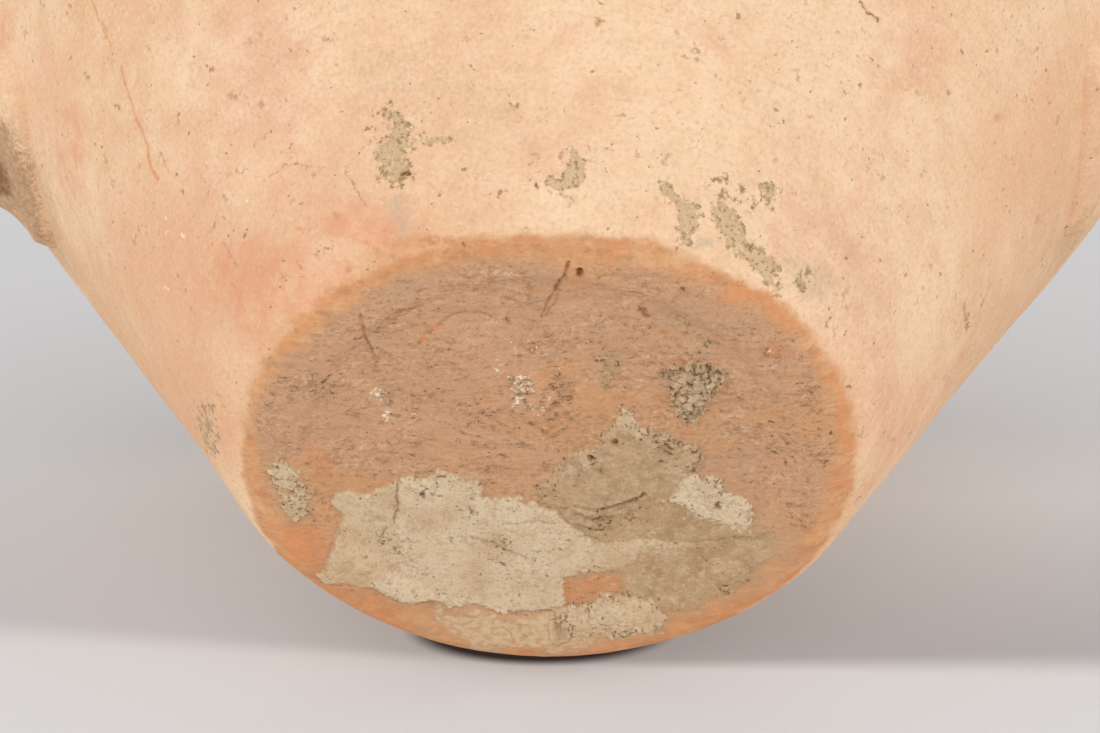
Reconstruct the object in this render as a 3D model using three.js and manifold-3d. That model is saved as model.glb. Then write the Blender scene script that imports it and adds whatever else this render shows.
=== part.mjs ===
// A coil-built pottery jar standing on its flat foot, in millimetres, with +Z up.
// The origin is the centre of the foot's underside, and the two handles lie along X.

import * as THREE from 'three';
import { mergeVertices } from 'three/addons/utils/BufferGeometryUtils.js';
import Module from 'manifold-3d';

const wasm = await Module();
wasm.setup();

// Sizes of the foot
const footCornerRadius = 57.4; // where the straight side of the wall would meet the ground
const heelRound = 8.2; // length that the rounded heel takes off the foot and off the wall
const baseThickness = 8;
const recessDepth = 1.2; // the underside is slightly hollow
const footRingWidth = 3.5; // flat ring of the disc round the hollow
const recessSlopeWidth = 3.5;
const heelCoilHeight = 18;
const ledgeReach = 8; // how far the heel coil laps over the disc inside the jar
const ledgeThickness = 2;

// Sizes of the wall
const wallThickness = 6.5;
const wallLeanDegrees = 30; // lean of the lower wall from upright
const wallPull = 120; // how far up the lower wall stays nearly straight
const bellyRadius = 154;
const bellyHeight = 182;
const bellyPull = 27; // roundness just under the widest line
const bellyCoilHeight = 34;
const shoulderRise = 118; // from the widest line to the root of the neck
const shoulderPull = 66; // roundness just over the widest line
const shoulderPitchDegrees = 28; // slope of the shoulder where it meets the neck
const shoulderReach = 60; // length over which the shoulder keeps that slope

// Sizes of the neck and the mouth
const neckRadius = 50;
const neckHeight = 30;
const neckWaist = 3; // how far the neck draws in at mid height
const neckThickness = 6;
const mouthRadius = 60;
const rimHeight = 14;

// Sizes of the strap handles
const handleSpan = 58; // between the centres of the two roots
const handleDrop = 29; // from the widest line down to the upper root
const lowerReach = 58; // how strongly the loop leaves the lower root
const upperReach = 40;
const handleLift = 8; // how far the loop arches over its upper root
const handleWidth = 30;
const handleThickness = 9;
const rootWidth = 46; // the clay is spread where it is pressed on the wall
const rootThickness = 16;
const rootDepth = 9; // length of each root inside the line of the wall, before it is cut to fit
const seatGap = 0.3; // clearance of a piece pressed against a curved neighbour

// Sizes of the soil crust under the base
const crustThickness = 0.9;
const crustEdge = 0.6; // width of the thinned edge of a crust patch
const crustEdgeDepth = 0.3;

// Counts of coils, and of the steps that round the shapes
const wallCoilCount = 5;
const shoulderCoilCount = 4;
const turnSteps = 48;
const lineSteps = 60;
const heelSteps = 5;
const wallSteps = 2;
const bellySteps = 4;
const shoulderSteps = 3;
const neckSteps = 4;
const rimSteps = 4;
const lipSteps = 4;
const ledgeSteps = 4;
const slopeSteps = 3;
const handleSteps = 20;
const sectionSteps = 16;
const crustSteps = 3;

// How sharply the strap's section is squared, and how late its ends spread
const sectionSquareShare = 0.62;
const spreadPower = 4;

// Outlines of the soil patches, as shares of the recess radius
const mainCrustShares = [
  [-0.87, 0.24], [-0.67, 0.17], [-0.47, 0.10], [-0.29, 0.19], [-0.11, 0.28], [-0.02, 0.12],
  [0.16, -0.04], [0.32, -0.30], [0.43, -0.18], [0.63, -0.10], [0.65, 0.10], [0.81, 0.23],
  [0.87, 0.39], [0.77, 0.55], [0.49, 0.79], [0.31, 0.72], [0.05, 0.72], [-0.05, 0.90],
  [-0.17, 0.93], [-0.44, 0.84], [-0.64, 0.71], [-0.79, 0.53], [-0.87, 0.40],
];
const lumpCrustShares = [
  [0.52, -0.47], [0.61, -0.55], [0.72, -0.53], [0.76, -0.39], [0.72, -0.24], [0.63, -0.20], [0.54, -0.31],
];
const smallCrustShares = [
  [0.19, -0.61], [0.26, -0.68], [0.34, -0.63], [0.34, -0.47], [0.25, -0.43], [0.20, -0.50],
];

// Finishes
const clay = (color) => new THREE.MeshStandardMaterial({ color, roughness: 0.85, metalness: 0 });
const baseClay = () => clay('#c89c78');
const heelClay = () => clay('#db9a68');
const wallClay = () => clay('#f0c69c');
const paintedClay = () => clay('#b5794f');
const soil = () => clay('#cdb997');

// Turns a closed profile of radius and height points round the vertical axis
function turned(name, profile, material) {
  const geometry = new THREE.LatheGeometry(profile, turnSteps);
  geometry.rotateX(Math.PI / 2);
  const mesh = new THREE.Mesh(geometry, material);
  mesh.name = name;
  return mesh;
}

function evenSteps(from, to, steps) {
  return Array.from({ length: steps + 1 }, (_, step) => THREE.MathUtils.lerp(from, to, step / steps));
}

function along(point, direction, distance) {
  return point.clone().addScaledVector(direction, distance);
}

// The outer line of the jar, from the heel to the root of the neck
const lean = THREE.MathUtils.degToRad(wallLeanDegrees);
const pitch = THREE.MathUtils.degToRad(shoulderPitchDegrees);
const upTheWall = new THREE.Vector2(Math.sin(lean), Math.cos(lean));
const downTheShoulder = new THREE.Vector2(Math.cos(pitch), -Math.sin(pitch));
const footCorner = new THREE.Vector2(footCornerRadius, 0);
const heelStart = new THREE.Vector2(footCornerRadius - heelRound, 0);
const heelEnd = along(footCorner, upTheWall, heelRound);
const widest = new THREE.Vector2(bellyRadius, bellyHeight);
const neckRoot = new THREE.Vector2(neckRadius, bellyHeight + shoulderRise);

const heelCurve = new THREE.QuadraticBezierCurve(heelStart, footCorner, heelEnd);
const wallCurve = new THREE.CubicBezierCurve(
  heelEnd,
  along(heelEnd, upTheWall, wallPull),
  new THREE.Vector2(bellyRadius, bellyHeight - bellyPull),
  widest,
);
const shoulderCurve = new THREE.CubicBezierCurve(
  widest,
  new THREE.Vector2(bellyRadius, bellyHeight + shoulderPull),
  along(neckRoot, downTheShoulder, shoulderReach),
  neckRoot,
);

// The same line, moved inwards by the wall's thickness
function insideOf(curve) {
  return evenSteps(0, 1, lineSteps).map((t) => {
    const tangent = curve.getTangent(t);
    return along(curve.getPoint(t), new THREE.Vector2(-tangent.y, tangent.x), wallThickness);
  });
}

const outerLine = [
  ...heelCurve.getPoints(lineSteps),
  ...wallCurve.getPoints(lineSteps),
  ...shoulderCurve.getPoints(lineSteps),
];
const innerLine = [
  ...insideOf(wallCurve),
  ...insideOf(shoulderCurve),
  new THREE.Vector2(neckRadius - neckThickness, neckRoot.y),
];

function radiusAt(line, height) {
  const next = line.findIndex((point) => point.y >= height);
  if (next <= 0) return line[next < 0 ? line.length - 1 : 0].x;
  const below = line[next - 1];
  const above = line[next];
  const share = (height - below.y) / (above.y - below.y);
  return THREE.MathUtils.lerp(below.x, above.x, share);
}

const pointAt = (line, height) => new THREE.Vector2(radiusAt(line, height), height);

// A flattened coil is a ring of the wall between two level seams
function coil(name, heights, material) {
  const outside = heights.map((height) => pointAt(outerLine, height));
  const inside = heights.map((height) => pointAt(innerLine, height)).reverse();
  return turned(name, [...outside, ...inside, outside[0]], material);
}

// Heights of the seams and of the steps between them
const bellyCoilBottom = bellyHeight - bellyCoilHeight / 2;
const bellyCoilTop = bellyHeight + bellyCoilHeight / 2;
const wallSeams = evenSteps(heelCoilHeight, bellyCoilBottom, wallCoilCount);
const shoulderStart = evenSteps(0, 1, lineSteps).find((t) => shoulderCurve.getPoint(t).y >= bellyCoilTop);
const shoulderSeams = evenSteps(shoulderStart, 1, shoulderCoilCount).map((t) => shoulderCurve.getPoint(t).y);
shoulderSeams[0] = bellyCoilTop;
const heelHeights = evenSteps(heelEnd.y, heelCoilHeight, 1);
const bellyHeights = evenSteps(bellyCoilBottom, bellyCoilTop, bellySteps);

// The base is a flat disc with a slightly hollow underside
const discRadius = heelStart.x - seatGap;
const ringInnerRadius = discRadius - footRingWidth;
const recessRadius = ringInnerRadius - recessSlopeWidth;

function baseDisc() {
  const slope = evenSteps(0, 1, slopeSteps).map((t) => new THREE.Vector2(
    THREE.MathUtils.lerp(recessRadius, ringInnerRadius, t),
    recessDepth * (1 - THREE.MathUtils.smoothstep(t, 0, 1)),
  ));
  const profile = [
    new THREE.Vector2(0, recessDepth),
    ...slope,
    new THREE.Vector2(discRadius, 0),
    new THREE.Vector2(discRadius, baseThickness),
    new THREE.Vector2(0, baseThickness),
  ];
  return turned('base_disc', profile, baseClay());
}

// The first coil goes round the disc, laps over its edge inside and is rounded into the heel
function heelCoil() {
  const ledgeRadius = discRadius - ledgeReach;
  const ledgeTop = baseThickness + ledgeThickness;
  const ledge = new THREE.QuadraticBezierCurve(
    pointAt(innerLine, heelCoilHeight),
    pointAt(innerLine, ledgeTop),
    new THREE.Vector2(ledgeRadius, ledgeTop),
  );
  const profile = [
    ...heelCurve.getPoints(heelSteps),
    ...heelHeights.slice(1).map((height) => pointAt(outerLine, height)),
    ...ledge.getPoints(ledgeSteps),
    new THREE.Vector2(ledgeRadius, baseThickness),
    new THREE.Vector2(heelStart.x, baseThickness),
    heelStart,
  ];
  return turned('heel_coil', profile, heelClay());
}

function wallCoils() {
  return wallSeams.slice(1).map((top, index) => {
    const heights = evenSteps(wallSeams[index], top, wallSteps);
    return coil(`wall_coil_${index + 1}`, heights, wallClay());
  });
}

function shoulderCoils() {
  return shoulderSeams.slice(1).map((top, index) => {
    const heights = evenSteps(shoulderSeams[index], top, shoulderSteps);
    return coil(`shoulder_coil_${index + 1}`, heights, paintedClay());
  });
}

// The neck is a short collar, drawn in a little at mid height
const neckTop = neckRoot.y + neckHeight;

function neckCollar() {
  const bow = new THREE.QuadraticBezierCurve(
    neckRoot,
    new THREE.Vector2(neckRadius - 2 * neckWaist, neckRoot.y + neckHeight / 2),
    new THREE.Vector2(neckRadius, neckTop),
  );
  const outside = bow.getPoints(neckSteps);
  const inside = outside.map((point) => new THREE.Vector2(point.x - neckThickness, point.y)).reverse();
  return turned('neck_collar', [...outside, ...inside, outside[0]], paintedClay());
}

// The rim flares from the neck and ends in a half-round lip
function mouthRim() {
  const half = neckThickness / 2;
  const lipCentre = new THREE.Vector2(mouthRadius - half, neckTop + rimHeight - half);
  const flare = new THREE.QuadraticBezierCurve(
    new THREE.Vector2(neckRadius - half, neckTop),
    new THREE.Vector2(neckRadius - half, neckTop + rimHeight / 2),
    lipCentre,
  );
  const side = (t, distance) => {
    const tangent = flare.getTangent(t);
    return along(flare.getPoint(t), new THREE.Vector2(tangent.y, -tangent.x), distance);
  };
  const shares = evenSteps(0, 1, rimSteps).slice(1);
  const outside = [new THREE.Vector2(neckRadius, neckTop), ...shares.map((t) => side(t, half))];
  const inside = [new THREE.Vector2(neckRadius - neckThickness, neckTop), ...shares.map((t) => side(t, -half))];
  const lip = evenSteps(0, Math.PI, lipSteps).slice(1, -1).map((angle) => {
    const across = side(1, half * Math.cos(angle));
    return along(across, flare.getTangent(1), half * Math.sin(angle));
  });
  return turned('mouth_rim', [...outside, ...lip, ...inside.reverse(), outside[0]], paintedClay());
}

// Changes between a geometry and a solid that can be cut
function toSolid(geometry) {
  const bare = geometry.clone();
  bare.deleteAttribute('normal');
  bare.deleteAttribute('uv');
  const merged = mergeVertices(bare);
  return new wasm.Manifold(new wasm.Mesh({
    numProp: 3,
    vertProperties: Float32Array.from(merged.attributes.position.array),
    triVerts: Uint32Array.from(merged.index.array),
  }));
}

function toGeometry(solid) {
  const { vertProperties, triVerts } = solid.getMesh();
  const geometry = new THREE.BufferGeometry();
  geometry.setAttribute('position', new THREE.BufferAttribute(vertProperties, 3));
  geometry.setIndex(new THREE.BufferAttribute(triVerts, 1));
  geometry.computeVertexNormals();
  return geometry;
}

// The solid shape of the jar up to the neck, with the clearance that a handle root keeps from it
function wallBody() {
  const heights = [
    ...wallSeams.slice(1).flatMap((top, index) => evenSteps(wallSeams[index], top, wallSteps)),
    ...bellyHeights,
    ...shoulderSeams.slice(1).flatMap((top, index) => evenSteps(shoulderSeams[index], top, shoulderSteps)),
  ];
  const levels = heights.filter((height, index) => index === 0 || height > heights[index - 1]);
  const profile = [
    new THREE.Vector2(0, levels[0]),
    ...levels.map((height) => new THREE.Vector2(radiusAt(outerLine, height) + seatGap, height)),
    new THREE.Vector2(0, levels[levels.length - 1]),
  ];
  return turned('wall_body', profile, wallClay()).geometry;
}

// One point of the strap's section, a squared ellipse of the given width and thickness
function sectionPoint(angle, width, thickness) {
  const squared = (value) => Math.sign(value) * Math.abs(value) ** sectionSquareShare;
  return [squared(Math.cos(angle)) * width / 2, squared(Math.sin(angle)) * thickness / 2];
}

// A strap lofted along an arch from the lower root to the upper one
function strap() {
  const upperHeight = bellyHeight - handleDrop;
  const lowerHeight = upperHeight - handleSpan;
  const lowerRoot = new THREE.Vector3(radiusAt(outerLine, lowerHeight) - rootDepth, 0, lowerHeight);
  const upperRoot = new THREE.Vector3(radiusAt(outerLine, upperHeight) - rootDepth, 0, upperHeight);
  const arch = new THREE.CubicBezierCurve3(
    lowerRoot,
    new THREE.Vector3(lowerRoot.x + lowerReach, 0, lowerRoot.z),
    new THREE.Vector3(upperRoot.x + upperReach, 0, upperRoot.z + handleLift),
    upperRoot,
  );
  const positions = [];
  evenSteps(0, 1, handleSteps).forEach((t) => {
    const centre = arch.getPoint(t);
    const tangent = arch.getTangent(t);
    const outwards = new THREE.Vector3(tangent.z, 0, -tangent.x);
    const spread = Math.abs(2 * t - 1) ** spreadPower;
    const width = THREE.MathUtils.lerp(handleWidth, rootWidth, spread);
    const thickness = THREE.MathUtils.lerp(handleThickness, rootThickness, spread);
    for (let step = 0; step < sectionSteps; step += 1) {
      const [across, out] = sectionPoint((2 * Math.PI * step) / sectionSteps, width, thickness);
      const point = centre.clone().addScaledVector(outwards, out);
      positions.push(point.x, across, point.z);
    }
  });
  positions.push(...lowerRoot.toArray(), ...upperRoot.toArray());
  const geometry = new THREE.BufferGeometry();
  geometry.setAttribute('position', new THREE.Float32BufferAttribute(positions, 3));
  geometry.setIndex(strapFaces());
  return geometry;
}

function strapFaces() {
  const faces = [];
  const firstEnd = (handleSteps + 1) * sectionSteps;
  const lastRing = handleSteps * sectionSteps;
  for (let step = 0; step < sectionSteps; step += 1) {
    const next = (step + 1) % sectionSteps;
    faces.push(firstEnd, step, next);
    faces.push(firstEnd + 1, lastRing + next, lastRing + step);
    for (let ring = 0; ring < handleSteps; ring += 1) {
      const here = ring * sectionSteps;
      const there = here + sectionSteps;
      faces.push(here + step, there + next, here + next);
      faces.push(here + step, there + step, there + next);
    }
  }
  return faces;
}

// Both handles are cut to sit on the wall, and the left one is the right one turned half round
function handles() {
  const fitted = toGeometry(toSolid(strap()).subtract(toSolid(wallBody())));
  return ['handle_right', 'handle_left'].map((name, index) => {
    const mesh = new THREE.Mesh(fitted.clone(), wallClay());
    mesh.name = name;
    mesh.rotation.z = index * Math.PI;
    return mesh;
  });
}

// A thin patch of hardened soil that lies flat against the hollow underside
function crust(name, outlineShares) {
  const corners = outlineShares.map(([x, y]) => new THREE.Vector3(x, y).multiplyScalar(recessRadius));
  const outline = new THREE.CatmullRomCurve3(corners, true).getPoints(corners.length * crustSteps);
  const shape = new THREE.Shape(outline.slice(0, -1).map((point) => new THREE.Vector2(point.x, point.y)));
  const geometry = new THREE.ExtrudeGeometry(shape, {
    depth: crustThickness - 2 * crustEdgeDepth,
    bevelThickness: crustEdgeDepth,
    bevelSize: crustEdge,
    bevelOffset: -crustEdge,
    bevelSegments: 1,
  });
  const mesh = new THREE.Mesh(geometry, soil());
  mesh.name = name;
  mesh.position.z = recessDepth - crustThickness + crustEdgeDepth;
  return mesh;
}

const jar = new THREE.Group();
jar.add(
  baseDisc(),
  heelCoil(),
  ...wallCoils(),
  coil('belly_coil', bellyHeights, paintedClay()),
  ...shoulderCoils(),
  neckCollar(),
  mouthRim(),
  ...handles(),
  crust('soil_crust_main', mainCrustShares),
  crust('soil_crust_lump', lumpCrustShares),
  crust('soil_crust_small', smallCrustShares),
);

export default jar;
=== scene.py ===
# A coil-built earthenware jar, seen from below its foot: fired clay, a worn heel, soil and slip.
# Lengths are in millimetres until a mesh is made. Pixel places are those of the photograph,
# which is 1100 by 733 pixels.

import math
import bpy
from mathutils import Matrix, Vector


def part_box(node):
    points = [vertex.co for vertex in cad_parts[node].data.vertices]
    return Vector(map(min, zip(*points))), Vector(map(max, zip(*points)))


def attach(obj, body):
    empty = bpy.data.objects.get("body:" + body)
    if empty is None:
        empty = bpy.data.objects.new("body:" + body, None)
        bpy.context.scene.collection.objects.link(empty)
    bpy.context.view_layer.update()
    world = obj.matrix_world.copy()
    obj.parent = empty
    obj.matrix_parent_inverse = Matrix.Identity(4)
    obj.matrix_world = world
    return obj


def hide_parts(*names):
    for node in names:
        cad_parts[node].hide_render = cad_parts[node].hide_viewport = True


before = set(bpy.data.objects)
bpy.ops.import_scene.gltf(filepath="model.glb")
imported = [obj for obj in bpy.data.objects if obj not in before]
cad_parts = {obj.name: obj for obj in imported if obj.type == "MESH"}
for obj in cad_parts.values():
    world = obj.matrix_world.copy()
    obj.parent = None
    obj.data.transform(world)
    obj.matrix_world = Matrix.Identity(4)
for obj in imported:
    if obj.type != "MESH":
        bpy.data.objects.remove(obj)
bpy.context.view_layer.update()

from types import SimpleNamespace

import bpy
import numpy as np
from mathutils import Matrix, Vector

MM = 0.001
BODY = "root"
SEED = 7
FULL_TURN = 2 * math.pi
TINY = 1e-9


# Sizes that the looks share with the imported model

def node_radius(node):
    """Outer radius of a turned node, in millimetres."""
    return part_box(node)[1].x / MM


def node_top(node):
    """Height of a node's top, in millimetres."""
    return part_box(node)[1].z / MM


FOOT_CORNER_RADIUS = 57.4
HEEL_ROUND = 8.2
WALL_LEAN = math.radians(30)
WALL_PULL = 120.0
BELLY_PULL = 27.0
SHOULDER_PULL = 66.0
SHOULDER_PITCH = math.radians(28)
SHOULDER_REACH = 60.0
WALL_THICKNESS = 6.5
NECK_WAIST = 3.0
NECK_THICKNESS = 6.0
RECESS_DEPTH = 1.2
FOOT_RING_WIDTH = 3.5
RECESS_SLOPE_WIDTH = 3.5
BELLY_RADIUS = node_radius("belly_coil")
BELLY_HEIGHT = (node_top("belly_coil") + node_top("wall_coil_5")) / 2
NECK_ROOT_HEIGHT = node_top("shoulder_coil_4")
NECK_RADIUS = node_radius("neck_collar")
NECK_TOP = node_top("neck_collar")
MOUTH_RADIUS = 60.0
RIM_HEIGHT = 14.0
BASE_THICKNESS = node_top("base_disc")
DISC_RADIUS = FOOT_CORNER_RADIUS - HEEL_ROUND
RING_INNER_RADIUS = node_radius("base_disc") - FOOT_RING_WIDTH
RECESS_RADIUS = RING_INNER_RADIUS - RECESS_SLOPE_WIDTH
LEDGE_REACH = 8.0
LEDGE_STEP = 2.0


# Colours of the fired clay, the soil and the slip

CREAM = "#F8D3AC"
BUFF = "#F0C49C"
ROSE = "#ECB190"
BLUSH = "#E4936F"
WALL_DARK = "#D3A57C"
WALL_LIGHT = "#FFE9CC"
WALL_SPECK = "#B08A66"
SCRAPED = "#D0A17C"
SCRAPED_PINK = "#D9A580"
SCRAPED_GREY = "#C5A283"
SCRAPED_WARM = "#DA9E6C"
SCRAPED_DARK = "#A97C59"
SCRAPED_LIGHT = "#EBC8A2"
HEEL_ORANGE = "#D99E6E"
HEEL_RED = "#DF8C5B"
HEEL_PALE = "#EBB88A"
OLIVE_SOIL = "#DABB93"
OLIVE_DARK = "#9C7A55"
SOIL_PALE = "#EBD8BA"
SOIL_BODY = "#DEC4A0"
SOIL_TAN = "#CDA680"
SOIL_DARK = "#B89670"
SOIL_SMEAR = "#CBA27C"
# Painted shade in the soil's creases, cracks and holes
SOIL_HOLLOW_SHADE = "#5C3413"
COOL_GREY = "#CBB598"
PORE_AND_SHADE_BROWN = "#6C3814"
CHIP_BROWN = "#83502A"
BARE_CLAY = "#E0935F"
CHALK = "#FCE9CE"
SLIP_BROWN = "#3A241C"
SLIP_RED = "#8C3A26"
FLOOR_FRONT = "#ECEEF1"
# FLOOR_NEAR, FLOOR_SHADE and FLOOR_MIDDLE are painted shade of the jar on the floor, darker than
# FLOOR_FAR
FLOOR_NEAR = "#D6D6DA"
FLOOR_SHADE = "#BFBEC1"
FLOOR_MIDDLE = "#E4E6E7"
FLOOR_FAR = "#EFEEEF"
# CONTACT_SHADE is a painted contact shadow under the heel
CONTACT_SHADE = "#2C1D15"
BACKDROP = "#C8C4C2"


def linear(hex_colour):
    """sRGB hex to the linear RGBA that the sockets take."""
    parts = [int(hex_colour[at:at + 2], 16) / 255 for at in (1, 3, 5)]
    curve = [c / 12.92 if c <= 0.04045 else ((c + 0.055) / 1.055) ** 2.4 for c in parts]
    return (*curve, 1.0)


# Camera, matched to the photograph with the jar upright in the model's frame

PHOTO_WIDTH = 1100
PHOTO_CENTRE = (550.0, 366.0)
FOCAL_PIXELS = 2741.9
CAMERA_DISTANCE = 500.0
CAMERA_FROM_AXIS = math.radians(45.77)
AIM_UP_PIXELS = 94.8
AIM_RIGHT_PIXELS = 1.9
CAMERA_ROLL = math.radians(-1.68)
CAMERA_TURN = math.radians(3.0)
SENSOR_WIDTH = 36.0
CLIP_METRES = (0.01, 50.0)


def turned_about(vector, axis, angle):
    return Matrix.Rotation(angle, 3, axis) @ vector


def camera_axes():
    """Place, right, up and forward of the camera, in millimetres."""
    upright = Vector((0, 0, 1))
    direction = Vector((0, -math.sin(CAMERA_FROM_AXIS), -math.cos(CAMERA_FROM_AXIS)))
    place = direction * CAMERA_DISTANCE
    forward = -place.normalized()
    right = forward.cross(upright).normalized()
    up = right.cross(forward)
    lift = math.atan(AIM_UP_PIXELS / FOCAL_PIXELS)
    forward, up = (turned_about(vector, right, lift) for vector in (forward, up))
    swing = -math.atan(AIM_RIGHT_PIXELS / FOCAL_PIXELS)
    forward, right = (turned_about(vector, up, swing) for vector in (forward, right))
    right, up = (turned_about(vector, forward, CAMERA_ROLL) for vector in (right, up))
    return [turned_about(vector, upright, CAMERA_TURN) for vector in (place, right, up, forward)]


CAMERA_PLACE, CAMERA_RIGHT, CAMERA_UP, CAMERA_FORWARD = (np.array(v) for v in camera_axes())


def photo_place(points):
    """Pixel place in the photograph of points in millimetres."""
    away = points - CAMERA_PLACE
    depth = away @ CAMERA_FORWARD
    return (
        PHOTO_CENTRE[0] + FOCAL_PIXELS * (away @ CAMERA_RIGHT) / depth,
        PHOTO_CENTRE[1] - FOCAL_PIXELS * (away @ CAMERA_UP) / depth,
    )


def photo_ray(x, y):
    """Direction in which the camera sees a pixel."""
    ray = CAMERA_FORWARD + CAMERA_RIGHT * (x - PHOTO_CENTRE[0]) / FOCAL_PIXELS
    ray = ray - CAMERA_UP * (y - PHOTO_CENTRE[1]) / FOCAL_PIXELS
    return ray / np.linalg.norm(ray)


def new_object(name, data):
    """An object of the scene that holds the given data."""
    found = bpy.data.objects.new(name, data)
    bpy.context.scene.collection.objects.link(found)
    return found


def add_camera():
    data = bpy.data.cameras.new("camera")
    data.sensor_width = SENSOR_WIDTH
    data.lens = SENSOR_WIDTH * FOCAL_PIXELS / PHOTO_WIDTH
    data.clip_start, data.clip_end = CLIP_METRES
    camera = new_object("camera", data)
    axes = Matrix((CAMERA_RIGHT, CAMERA_UP, -CAMERA_FORWARD)).transposed()
    camera.matrix_world = Matrix.Translation(Vector(CAMERA_PLACE) * MM) @ axes.to_4x4()
    bpy.context.scene.camera = camera


# Noise that gives hand-made unevenness

HASH_PRIMES = np.array((73856093, 19349663, 83492791))
HASH_MIX = 1274126177
HASH_MASK = 0xFFFFFFFF
SEED_SHIFT = 19.19
LAYER_SEED_STEP = 3.7


def cell_values(cell):
    """A repeatable number from -1 to 1 for each lattice cell."""
    mixed = np.bitwise_xor.reduce(cell.astype(np.int64) * HASH_PRIMES, axis=1) & HASH_MASK
    mixed = ((mixed ^ (mixed >> 13)) * HASH_MIX) & HASH_MASK
    mixed = ((mixed ^ (mixed >> 15)) * HASH_MIX) & HASH_MASK
    return (mixed ^ (mixed >> 16)) / 2 ** 31 - 1


def lumps(points, size, seed):
    """Smooth noise from -1 to 1 with lumps of a size: one number, or one for each axis."""
    scaled = points / np.asarray(size, float) + SEED_SHIFT * seed
    cell = np.floor(scaled)
    part = scaled - cell
    ease = part * part * (3 - 2 * part)
    total = np.zeros(len(points))
    for corner in np.ndindex(2, 2, 2):
        total += cell_values(cell + corner) * np.prod(np.where(corner, ease, 1 - ease), axis=1)
    return total


def rough(points, size, seed, octaves=3):
    """Lumps on lumps, each layer half as large and half as strong."""
    size = np.asarray(size, float)
    layers = [lumps(points, size / 2 ** layer, seed + LAYER_SEED_STEP * layer) / 2 ** layer
              for layer in range(octaves)]
    return np.sum(layers, axis=0)


def smooth_step(value, low, high):
    share = np.clip((value - low) / (high - low), 0, 1)
    return share * share * (3 - 2 * share)


# Profile lines of the jar, as radius and height

HEEL_STEPS = 40
WALL_STEPS = 400
NECK_STEPS = 60
FLARE_STEPS = 40
LIP_STEPS = 16


def bezier(corners, steps):
    """Points along a Bezier curve of any order."""
    t = np.linspace(0, 1, steps)[:, None]
    layer = [np.ones_like(t) * np.array(corner, float) for corner in corners]
    while len(layer) > 1:
        layer = [a * (1 - t) + b * t for a, b in zip(layer, layer[1:])]
    return layer[0]


def jar_line():
    """The outer line from the edge of the base disc to the root of the neck."""
    lean = np.array((math.sin(WALL_LEAN), math.cos(WALL_LEAN)))
    slope = np.array((math.cos(SHOULDER_PITCH), -math.sin(SHOULDER_PITCH)))
    corner = np.array((FOOT_CORNER_RADIUS, 0.0))
    heel_end = corner + lean * HEEL_ROUND
    belly = np.array((BELLY_RADIUS, BELLY_HEIGHT))
    neck_root = np.array((NECK_RADIUS, NECK_ROOT_HEIGHT))
    heel = bezier([(DISC_RADIUS, 0), corner, heel_end], HEEL_STEPS)
    wall = bezier([heel_end, heel_end + lean * WALL_PULL, belly - (0, BELLY_PULL), belly],
                  WALL_STEPS)
    shoulder = bezier([belly, belly + (0, SHOULDER_PULL), neck_root + slope * SHOULDER_REACH,
                       neck_root], WALL_STEPS)
    return np.vstack([heel, wall[1:], shoulder[1:]])


class Line:
    """A profile line that is read by the distance along it."""

    def __init__(self, points):
        self.points = points
        steps = np.linalg.norm(np.diff(points, axis=0), axis=1)
        self.along = np.concatenate([[0], np.cumsum(steps)])
        self.length = self.along[-1]
        tangent = np.gradient(points, self.along, axis=0)
        tangent /= np.linalg.norm(tangent, axis=1)[:, None]
        self.normals = np.column_stack([tangent[:, 1], -tangent[:, 0]])

    def read(self, table, s):
        return np.column_stack([np.interp(s, self.along, table[:, axis]) for axis in (0, 1)])

    def at(self, s):
        """Point and outward normal, carried on straight past the ends."""
        point, normal = self.read(self.points, s), self.read(self.normals, s)
        over = np.minimum(s, 0) + np.maximum(s - self.length, 0)
        tangent = np.column_stack([-normal[:, 1], normal[:, 0]])
        return point + tangent * over[:, None], normal

    def distance_at(self, height):
        """Distance along the line to a height."""
        return np.interp(height, self.points[:, 1], self.along)

    def radius_at(self, height):
        return np.interp(height, self.points[:, 1], self.points[:, 0])


JAR_LINE = Line(jar_line())


def neck_line():
    middle = (NECK_RADIUS - 2 * NECK_WAIST, (NECK_ROOT_HEIGHT + NECK_TOP) / 2)
    return bezier([(NECK_RADIUS, NECK_ROOT_HEIGHT), middle, (NECK_RADIUS, NECK_TOP)], NECK_STEPS)


def rim_line():
    """Out along the flare, round the half-round lip and back down inside."""
    half = NECK_THICKNESS / 2
    foot = np.array((NECK_RADIUS - half, NECK_TOP))
    lip = np.array((MOUTH_RADIUS - half, NECK_TOP + RIM_HEIGHT - half))
    flare = bezier([foot, foot + (0, RIM_HEIGHT / 2), lip], FLARE_STEPS)
    tangent = np.gradient(flare, axis=0)
    tangent /= np.linalg.norm(tangent, axis=1)[:, None]
    across = np.column_stack([tangent[:, 1], -tangent[:, 0]])
    turn = np.linspace(0, math.pi, LIP_STEPS)[1:-1, None]
    nose = lip + half * (across[-1] * np.cos(turn) + tangent[-1] * np.sin(turn))
    return np.vstack([flare + across * half, nose, (flare - across * half)[::-1]])


# Marks seen in the photograph, each at its pixel place

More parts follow.
